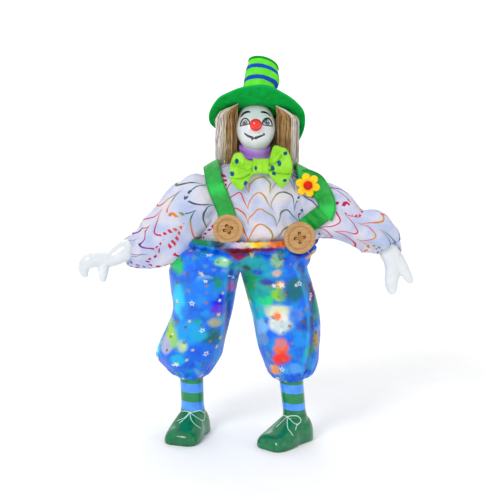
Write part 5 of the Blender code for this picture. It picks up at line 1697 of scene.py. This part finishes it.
def woodFinish():
    finish = Finish("turned_wood")
    place = finish.place()
    long = finish.vector("MULTIPLY", place, (0.22, 1.2, 1.9))
    grain = finish.noise(long, 1.0, 5.0, 0.65)
    colour = finish.ramp(grain, (0.3, (160, 116, 66)), (0.5, (190, 146, 92)), (0.7, (206, 166, 112)))
    streak = finish.noise(finish.vector("MULTIPLY", place, (0.5, 3.0, 7.0)), 1.0, 3.0)
    colour = finish.mix(
        finish.times(finish.ramp(streak, (0.5, 0.0), (0.72, 1.0)), 0.4), colour, (160, 112, 66)
    )
    # the ring groove is coloured a darker brown
    groove = finish.field("groove")
    colour = finish.mix(finish.times(groove, 0.45), colour, (150, 104, 60))
    # painted shade: the button holes are coloured near black
    colour = finish.mix(finish.field("hole"), colour, (34, 18, 8))
    normal = finish.bump(finish.plus(grain, finish.times(streak, 0.5)), 0.06)
    return finish.paint(colour, 0.55, normal, Coat_Weight=0.1, Coat_Roughness=0.4)


# A turned disc: its height is a profile over the radius, and each hole is a steep round pit
def makeButton(side, tree, wood, thread):
    (cx, cz), radius, turnDegrees, holeReach, firstAngle = buttons[side]
    thick, rim, deep = buttons["thickness"], buttons["rimWidth"], buttons["rimDepth"]
    turn = math.radians(turnDegrees)
    start = 0.0
    for reach in (0.0, 0.35, 0.7, 0.9, 1.0):
        for angle in fullTurn(20):
            dx, dz = reach * radius * math.cos(angle), reach * radius * math.sin(angle)
            offset = (dx * math.cos(turn), dx * math.sin(turn), dz)
            hit = rayHit(tree, (cx + offset[0], frontOfAll, cz + offset[2]), (0, 1, 0))
            if hit is not None:
                start = min(start, hit[1] - offset[1])
    place = np.array((cx, start - buttons["standOff"], cz))
    inner = radius - rim
    radii = np.concatenate(
        [np.linspace(0.25, inner - 0.5, 46), np.linspace(inner - 0.4, radius - 0.25, 26)]
    )
    bevel = np.radians(np.linspace(0, 90, 7))[1:]
    edge = buttons["bevel"]
    outerRadii = radius - edge + edge * np.sin(bevel)
    outerLevels = thick - edge + edge * np.cos(bevel)
    level = thick - deep * (1 - eased(limited((radii - inner + 0.35) / 0.7)))
    level -= 0.12 * np.exp(-(((radii - inner + 0.45) / 0.16) ** 2))
    allRadii = np.concatenate([radii, outerRadii, [radius, radius - 0.1, radius - 0.5, 0.3]])
    allLevels = np.concatenate([level, outerLevels, [thick * 0.4, 0.15, 0.0, 0.0]])
    around = fullTurn(144)
    x = allRadii[:, None] * np.cos(around)
    z = allRadii[:, None] * np.sin(around)
    top = np.zeros_like(x)
    top[: len(radii)] = 1.0
    holes, gap = [], np.full(x.shape, 9.0)
    for angle in np.radians(firstAngle + 90 * np.arange(4)):
        holes.append((holeReach * math.cos(angle), holeReach * math.sin(angle)))
        gap = np.minimum(gap, np.hypot(x - holes[-1][0], z - holes[-1][1]))
    pit = limited((buttons["holeRadius"] + 0.06 - gap) / 0.12) * top
    rimDip = hump(gap, buttons["holeRadius"], 0.15) * top * 0.05
    y = -(allLevels[:, None] - buttons["holeDepth"] * pit - rimDip)
    groove = np.exp(-(((allRadii[:, None] - inner + 0.4) / 0.2) ** 2)) * top
    local = np.stack([x, y, z], -1)

    def placed(points):
        turnedX = points[..., 0] * math.cos(turn) - points[..., 1] * math.sin(turn)
        turnedY = points[..., 0] * math.sin(turn) + points[..., 1] * math.cos(turn)
        return np.stack([turnedX, turnedY, points[..., 2]], -1) + place

    uv = np.zeros((len(allRadii), 145, 2))
    skin = closedSkin(placed(local), uv=uv, hole=pit, groove=groove)
    makePiece(side + "_wooden_button", skin, wood, side + "_button")

    face = thick - deep
    strands = []
    for a, b in ((0, 2), (1, 3)):
        (x0, z0), (x1, z1) = holes[a], holes[b]
        for slip in (-buttons["threadGap"], buttons["threadGap"]):
            sx, sz = -slip * (z1 - z0) / (2 * holeReach), slip * (x1 - x0) / (2 * holeReach)
            over = face + buttons["threadLift"] + (buttons["threadCross"] if a else 0.0)
            rows = np.array(
                [
                    (x0 + sx, -0.5, z0 + sz),
                    (x0 + sx, -face - 0.1, z0 + sz),
                    (0.6 * x0 + sx, -over, 0.6 * z0 + sz),
                    (sx, -over - 0.06, sz),
                    (0.6 * x1 + sx, -over, 0.6 * z1 + sz),
                    (x1 + sx, -face - 0.1, z1 + sz),
                    (x1 + sx, -0.5, z1 + sz),
                ]
            )
            path = placed(curveRows(rows, 40))
            tube = np.column_stack([path, np.full((40, 2), buttons["threadRadius"])])
            strands.append(twistedStrand(tube, 12))
    makePiece(side + "_button_stitches", joinSkins(*strands), thread, side + "_button_thread")
    return skin


def twistedStrand(rows, sides):
    count = len(rows)
    along = np.linspace(0, 1, count)[:, None]
    turn = fullTurn(sides)[None, :]
    swell = 1 + 0.14 * np.cos(3 * turn + 40 * along)
    heading = np.gradient(rows[:, :3], axis=0)
    heading = unit(heading)
    reach = rows[-1, :3] - rows[0, :3]
    flat = np.cross(reach, (0.0, 1.0, 0.0))
    flat /= np.linalg.norm(flat)
    upward = np.cross(flat[None, :], heading)
    upward = unit(upward)
    ring = np.cos(turn)[:, :, None] * flat[None, None, :] + np.sin(turn)[:, :, None] * upward[:, None, :]
    grid = rows[:, None, :3] + ring * (swell * rows[:, 3:4])[:, :, None]
    return closedSkin(grid)


def threadFinish():
    finish = Finish("ochre_thread")
    place = finish.place()
    fibre = finish.noise(finish.vector("MULTIPLY", place, (2.0, 2.0, 6.0)), 2.0, 3.0)
    colour = finish.tones(fibre, (150, 96, 22), (214, 160, 56))
    return finish.paint(colour, 0.8, finish.bump(fibre, 0.05), Sheen_Weight=0.2)


flower = {
    "centre": (23.2, 109.2),
    "turn": -16.0,
    "radius": 5.0,
    "petals": 6,
    "thickness": 1.3,
    "eye": 1.8,
}


def makeFlower(tree):
    steps, rings = 192, 40
    around = fullTurn(steps)[None, :]
    petals = flower["petals"]
    lobe = np.abs(np.cos(petals * (around - math.radians(flower["turn"])) / 2)) ** 0.55
    outline = flower["radius"] * (0.56 + 0.44 * lobe)
    cx, cz = flower["centre"]
    depth = 0.0
    for scale in (0.25, 0.55, 0.8, 1.0):
        spots = scale * outline * np.vstack([np.cos(around), np.sin(around)])
        for x, z in spots[:, ::4].T:
            hit = rayHit(tree, (cx + x, frontOfAll, cz + z), (0, 1, 0))
            if hit is not None:
                depth = min(depth, hit[1])
    back = depth - 0.3
    share = np.linspace(0.03, 1, rings)[:, None]
    dome = flower["thickness"] * (0.42 + 0.58 * np.sqrt(limited(1 - share**4)))
    valley = (1 - lobe) ** 2 * limited(share * 1.5) * 0.45
    vein = 0.08 * np.cos(petals * 4 * around) * share
    front = dome - valley + vein - 0.35 * hump(share, 0, 0.3)
    under = np.linspace(1, 0.05, 12)[:, None]
    scales = np.concatenate([share * np.ones_like(around), 0.985 * under * np.ones_like(around)])
    levels = np.concatenate([front, np.broadcast_to(0.15 * (1 - under), (12, steps))])
    levels[rings - 1] = 0.55
    grid = np.stack(
        [cx + scales * outline * np.cos(around), back - levels, cz + scales * outline * np.sin(around)], -1
    )
    skin = closedSkin(grid, reach=scales)
    finish = Finish("yellow_petal")
    place = finish.place()
    cloud = finish.noise(place, 0.6, 3.0)
    colour = finish.tones(cloud, (250, 196, 4), (255, 216, 22))
    warm = finish.under(finish.field("reach"), 0.52, 0.22)
    colour = finish.mix(finish.times(warm, 0.75), colour, (252, 150, 10))
    normal = finish.bump(finish.noise(place, 1.6, 3.0), 0.06)
    body = finish.paint(colour, 0.5, normal, Specular_IOR_Level=0.2)
    makePiece("cloth_petals", skin, body, "flower_petals")
    base = back - flower["thickness"] - 0.05
    ball = ballGrid(40, 64, flower["eye"], 1.05, 0.5, flower["eye"], flower["eye"])
    ball += (cx, base, cz)
    ball += 0.05 * waveNoise(ball, 0.9, 31)[..., None]
    eye = closedSkin(ball)
    finish = Finish("red_eye")
    place = finish.place()
    tufts = finish.cells(place, 2.2)[0]
    colour = finish.tones(tufts, (236, 36, 10), (206, 16, 4), 0.1, 0.7)
    body = finish.paint(colour, 0.55, finish.bump(tufts, 0.12), Specular_IOR_Level=0.2)
    makePiece("flower_middle", eye, body, "flower_eye")


bow = {
    "centre": (4.3, -9.8, 116.9),
    "slant": 0.20,
    "left": (
        # across from the middle, top, bottom, half depth
        (-2.2, 2.0, -2.4, 0.9), (-3.4, 2.1, -3.6, 1.1), (-4.6, 2.2, -5.8, 1.7), (-6.0, 3.0, -7.6, 2.2),
        (-7.4, 5.0, -9.2, 2.5), (-9.0, 5.3, -8.8, 2.5), (-10.6, 4.8, -7.4, 2.2),
        (-11.8, 2.8, -6.0, 1.7), (-12.7, 0.2, -4.2, 0.9),
    ),
    "right": (
        (2.2, 2.0, -2.2, 0.9), (3.4, 2.6, -3.2, 1.1), (4.2, 5.0, -4.4, 1.6), (5.2, 7.6, -5.4, 2.2),
        (6.6, 8.0, -6.8, 2.5), (8.6, 7.4, -8.4, 2.5), (10.2, 6.8, -7.0, 2.2), (11.5, 4.6, -4.8, 1.6),
        (12.3, 1.2, -2.4, 0.9),
    ),
    "knot": (6.2, 2.8, 1.9),
}
bowCreases = {
    "left": (
        (((-3.4, -0.6), (-5.5, -1.4), (-8.5, -0.2), (-11.5, 1.4)), 0.45, 0.9),
        (((-4.4, -3.0), (-7.5, -4.4), (-11.6, -4.6)), 0.38, 0.8),
        (((-6.2, 2.2), (-7.2, 0.6), (-9.6, 2.4)), 0.40, 0.6),
    ),
    "right": (
        (((3.6, 0.2), (6.0, 1.4), (8.4, 4.4)), 0.42, 0.8),
        (((4.0, -1.4), (7.0, -2.6), (11.0, -2.8)), 0.40, 0.9),
        (((4.6, 3.2), (6.4, 4.6), (7.0, 7.0)), 0.36, 0.5),
    ),
}
bowDots = (
    (-9.6, 2.4), (-6.0, -6.4), (-2.0, -0.4), (4.7, -0.5), (5.2, -2.6), (9.8, 5.4), (9.6, -5.2),
    (-11.4, -2.6), (1.6, 5.0), (7.4, 1.6),
)


# A wing is a closed loft: at each station across, an oval between its top and bottom edges,
# gathered by folds that spread from the knot and sunk along its creases
def bowWing(side):
    rows = curveRows(bow[side], 110)
    across, top, bottom, depth = (rows[:, k][:, None] for k in range(4))
    turn = fullTurn(150)[None, :]
    rise = np.sin(turn)
    square = np.sign(rise) * np.abs(rise) ** 0.8
    z = (top + bottom) / 2 + (top - bottom) / 2 * square
    x = across * np.ones_like(turn)
    hinge = 1.6 if side == "right" else -1.6
    spread = np.arctan2(z, np.abs(x - hinge) + 0.3)
    near = np.exp(-np.abs(x - hinge) / 5.5)
    face = np.sign(-np.cos(turn)) * np.abs(np.cos(turn)) ** 0.6
    fold = (0.55 * near + 0.16) * np.cos(7.5 * spread + (0.6 if side == "right" else 2.1))
    sink = foldDepth(x, z, bowCreases[side]) * limited(face)
    back = foldDepth(x, z, bowCreases[side]) * limited(-face)
    flare = np.abs(x) / 12.0
    y = -face * depth * (1 + 0.1 * flare) - fold * np.abs(face) + sink - 0.6 * back
    x = x + 0.35 * np.cos(3 * spread) * flare
    y = y + bow["slant"] * z
    grid = np.stack([x, y, z], -1) + np.array(bow["centre"])
    reach = np.full(x.shape, 9.0)
    for dx, dz in bowDots:
        tall = 1.0 + 0.25 * math.sin(7 * dx)
        reach = np.minimum(reach, np.hypot(x - dx, (z - dz) / tall) - 0.85)
    return closedSkin(grid, dot=reach)


def bowFinish():
    finish = Finish("lime_cotton")
    place = finish.place()
    x, _, z = finish.parts(place)
    cloud = finish.noise(place, 0.3, 3.0)
    colour = finish.tones(cloud, (146, 222, 44), (170, 240, 70))
    uneven = finish.uneven(place, 1.3, 0.5)
    dot = finish.plus(finish.field("dot"), uneven)
    navy = finish.tones(cloud, (18, 72, 132), (26, 100, 140))
    colour = finish.mix(finish.under(dot, 0.0, 0.12), colour, navy)
    warp = finish.wave(x, 0.34)
    weft = finish.wave(z, 0.34)
    height = finish.plus(finish.times(finish.times(warp, weft), 0.6), finish.noise(place, 1.4, 4.0))
    return finish.paint(colour, 0.8, finish.bump(height, 0.09), Specular_IOR_Level=0.2)


def makeBow():
    finish = bowFinish()
    # the gathered strip runs through the knot between its two wings
    levels = np.linspace(-2.8, 2.8, 14)
    rows = np.column_stack(
        [levels, np.zeros((14, 1)), np.zeros((14, 1)), np.full(14, 1.0), np.full(14, 2.0)]
    )
    middle = tubeGrid(rows, 40)
    middle[..., 1] += bow["slant"] * middle[..., 2]
    strip = closedSkin(middle + np.array(bow["centre"]), dot=np.full((14, 40), 9.0))
    makePiece("gathered_bow", joinSkins(bowWing("left"), bowWing("right"), strip), finish, "bow_tie")

    length, halfHeight, halfDepth = bow["knot"]
    turn = fullTurn(120)[None, :]
    share = np.linspace(-1, 1, 44)
    profile = np.concatenate([share, share[::-1]])[:, None]
    bulge = np.concatenate([np.full(44, 0.0), np.full(44, -0.5)])[:, None]
    pinch = 1 + 0.10 * profile**2
    ridge = 0.10 * np.cos(9 * profile + 1.5 * np.sin(turn)) * (bulge > -0.1)
    square = np.sign(np.sin(turn)) * np.abs(np.sin(turn)) ** 0.75
    z = (halfHeight + bulge) * square * pinch
    y = (halfDepth + bulge + ridge) * -np.sign(np.cos(turn)) * np.abs(np.cos(turn)) ** 0.7
    y = y + bow["slant"] * z
    x = profile * length / 2 + 0.12 * np.sin(2 * turn)
    grid = np.stack([x * np.ones_like(turn), y, z], -1) + np.array(bow["centre"])
    reach = np.full(z.shape, 9.0)
    for dx, dz in bowDots:
        reach = np.minimum(reach, np.hypot((x - dx) * 1.5, z - dz) - 0.85)
    knot = gridSkin(grid, wrap=True, wrapRows=True, dot=reach)
    makePiece("bow_band", knot, finish, "bow_knot")


collar = {"bottom": 118.0, "top": 123.6, "thickness": 0.5}


def makeCollar():
    around = 144
    turn = fullTurn(around)
    inner = head["neckRadius"] + 0.25
    egg = ballGrid(60, 90, head["halfWidth"], head["front"], head["back"], head["top"], head["chin"])
    tree = treeOf(closedSkin(tipped(egg, head["centre"])))
    top = np.full(around, collar["top"])
    cx, cy = head["neckCentre"]
    for radius in (inner, inner + 1.3):
        for k in range(around):
            below = (cx + radius * math.cos(turn[k]), cy + radius * math.sin(turn[k]), 0)
            hit = rayHit(tree, below, (0, 0, 1))
            if hit is not None:
                top[k] = min(top[k], hit[2] - 0.5)
    for _ in range(6):
        top = (np.roll(top, 1) + top + np.roll(top, -1)) / 3
    share = np.linspace(0, 1, 26)
    ripple = 0.16 * np.sin(9 * share) + 0.5 * hump(share, 0.2, 0.12) + 0.25 * np.sin(math.pi * share)
    outer = inner + collar["thickness"] + limited(ripple)[:, None] * (
        0.7 + 0.3 * np.sin(2 * turn + 0.6)
    )
    level = collar["bottom"] + share[:, None] * (top - collar["bottom"])
    level = level + 0.15 * np.sin(3 * turn) * (1 - share[:, None])
    radii = np.concatenate([np.full((26, around), inner), outer[::-1]])
    levels = np.concatenate([level, level[::-1]])
    grid = np.stack([cx + radii * np.cos(turn), cy + radii * np.sin(turn), levels], -1)
    length = np.linspace(0, 2 * math.pi * inner, around + 1)
    across = np.concatenate([share, share[::-1], share[:1]])[:, None] * 5.6 - 2.8
    uv = np.stack(np.broadcast_arrays(across, length[None, :]), -1)
    skin = gridSkin(grid, wrap=True, wrapRows=True, uv=uv)
    satin = satinFinish("purple_satin", (146, 86, 200), (184, 128, 232), (116, 60, 170), (206, 166, 244))
    makePiece("neck_ribbon", skin, satin, "collar_ribbon")


def makeTrimmings():
    wood, thread = woodFinish(), threadFinish()
    makeButton("right", treeOf(shirtSkin, *braceSkins.values()), wood, thread)
    makeButton("left", treeOf(shirtSkin, braceSkins["left"], trouserSkin), wood, thread)
    makeFlower(treeOf(shirtSkin, braceSkins["left"]))
    makeBow()
    makeCollar()


makeTrimmings()
print("trimmings are on")


# Hair
hair = {
    "centre": (2.9, 3.2),
    "halfWidth": 16.9,
    "halfDepth": 11.8,
    "innerHalfWidth": 8.9,
    "innerHalfDepth": 7.8,
    "bottom": 115.0,
    "top": 143.0,
    "frontAngle": 122.0,
    "strands": 1500,
    "locks": 15,
    "lockPull": 0.45,
    "halfThickness": (0.10, 0.24),
    "unevenEnds": (-1.2, 4.0),
    "searchFrom": 120.0,
    "clearance": 0.3,
}


# The felt brim's underside over a place, or over the next place out from the hat's opening
def brimUnder(tree, x, y):
    cx, cy = hair["centre"]
    for reach in (1.0, 1.15, 1.3, 1.5):
        start = (cx + (x - cx) * reach, cy + (y - cy) * reach, hair["searchFrom"])
        hit = rayHit(tree, start, (0, 0, 1))
        if hit is not None:
            return hit[2] - hair["clearance"]
    return hair["top"]


def makeHair(tree):
    count, steps, sides = hair["strands"], 16, 4
    cx, cy = hair["centre"]
    front = math.radians(hair["frontAngle"])
    angle = rng.uniform(-front, front, count)
    layer = rng.uniform(0, 1, count) ** 0.7
    lockWidth = 2 * front / hair["locks"]
    lock = np.round(angle / lockWidth) * lockWidth
    share = np.linspace(0, 1, steps)[None, :]
    gather = hair["lockPull"] * share**1.5
    walk = angle[:, None] * (1 - gather) + lock[:, None] * gather
    phase = rng.uniform(0, 2 * math.pi, (count, 1))
    walk = walk + 0.035 * np.sin(2.2 * share * math.pi + phase)
    walk = walk + 0.02 * np.sin(5 * share * math.pi + 2 * phase)
    flare = 1 - (1 - limited(share / 0.2)) ** 2
    spread = layer[:, None] * flare * (1 + 0.03 * np.sin(3 * share * math.pi + phase))
    x = cx + (hair["innerHalfWidth"] + (hair["halfWidth"] - hair["innerHalfWidth"]) * spread) * np.sin(walk)
    y = cy + (hair["innerHalfDepth"] + (hair["halfDepth"] - hair["innerHalfDepth"]) * spread) * np.cos(walk)
    tops = np.array([brimUnder(tree, *place) for place in zip(x[:, 0], y[:, 0])])[:, None]
    ends = hair["bottom"] + rng.uniform(*hair["unevenEnds"], count)[:, None] * (layer[:, None] ** 0.3)
    fall = tops - share * (tops - ends)
    for step in range(1, 7):
        under = [brimUnder(tree, *place) for place in zip(x[:, step], y[:, step])]
        fall[:, step] = np.minimum(fall[:, step], np.array(under))
    line = np.stack([x, y, fall], -1)
    ahead = np.gradient(line, axis=1)
    ahead = unit(ahead)
    out = np.stack([np.sin(walk), np.cos(walk), np.zeros_like(walk)], -1)
    aside = np.cross(ahead, out)
    aside = unit(aside)
    out = np.cross(aside, ahead)
    thick = rng.uniform(*hair["halfThickness"], count)[:, None] * (1 - 0.75 * share**4)
    turn = fullTurn(sides)
    ring = np.cos(turn)[:, None] * aside[:, :, None, :] * 1.5 + np.sin(turn)[:, None] * out[:, :, None, :]
    grid = line[:, :, None, :] + ring * thick[:, :, None, None]
    base = np.arange(count)[:, None, None] * steps * sides
    r = np.arange(steps - 1)[None, :, None] * sides
    k = np.arange(sides)[None, None, :]
    after = (k + 1) % sides
    first = base + r
    quads = np.stack([first + k, first + after, first + sides + after, first + sides + k], -1).reshape(
        -1, 4
    )
    caps = []
    for row in (0, steps - 1):
        ringIndex = (np.arange(count)[:, None] * steps * sides + row * sides + np.arange(sides)[None, :])
        caps.append(ringIndex if row else ringIndex[:, ::-1])
    quads = np.concatenate([quads] + caps)
    away = np.abs(walk) / front
    grey = limited((layer[:, None] - 0.62) / 0.3) * 0.62 + 0.22
    grey = grey - 0.2 * (away > 0.75) * (1 - layer[:, None])
    tone = np.repeat(limited(grey + rng.normal(0, 0.18, (count, 1)))[:, :, None], sides, 2)
    dark = np.repeat(np.repeat(rng.uniform(0, 1, (count, 1)), steps, 1)[:, :, None], sides, 2)
    fields = {"tone": tone.reshape(-1, 1), "dark": dark.reshape(-1, 1)}
    skin = outward(newSkin(grid.reshape(-1, 3), quads, np.zeros((len(quads), 4, 2)), fields))
    finish = Finish("doll_hair")
    place = finish.place()
    tone = finish.plus(finish.field("tone"), finish.uneven(place, 0.3, 0.4))
    colour = finish.ramp(
        tone, (0.02, (170, 128, 76)), (0.28, (216, 184, 132)), (0.5, (224, 206, 176)),
        (0.78, (222, 214, 208)), (1.0, (208, 204, 214)),
    )
    colour = finish.mix(
        finish.times(finish.ramp(finish.field("dark"), (0.78, 0.0), (1.0, 1.0)), 0.5), colour, (104, 76, 50)
    )
    strand = finish.noise(finish.vector("MULTIPLY", place, (6.0, 6.0, 0.5)), 1.0, 2.0)
    body = finish.paint(colour, 0.42, finish.bump(strand, 0.05), Specular_IOR_Level=0.3)
    makePiece("hair_strands", skin, body, "hair")


makeHair(treeOf(brimSkin))
print("hair is set")
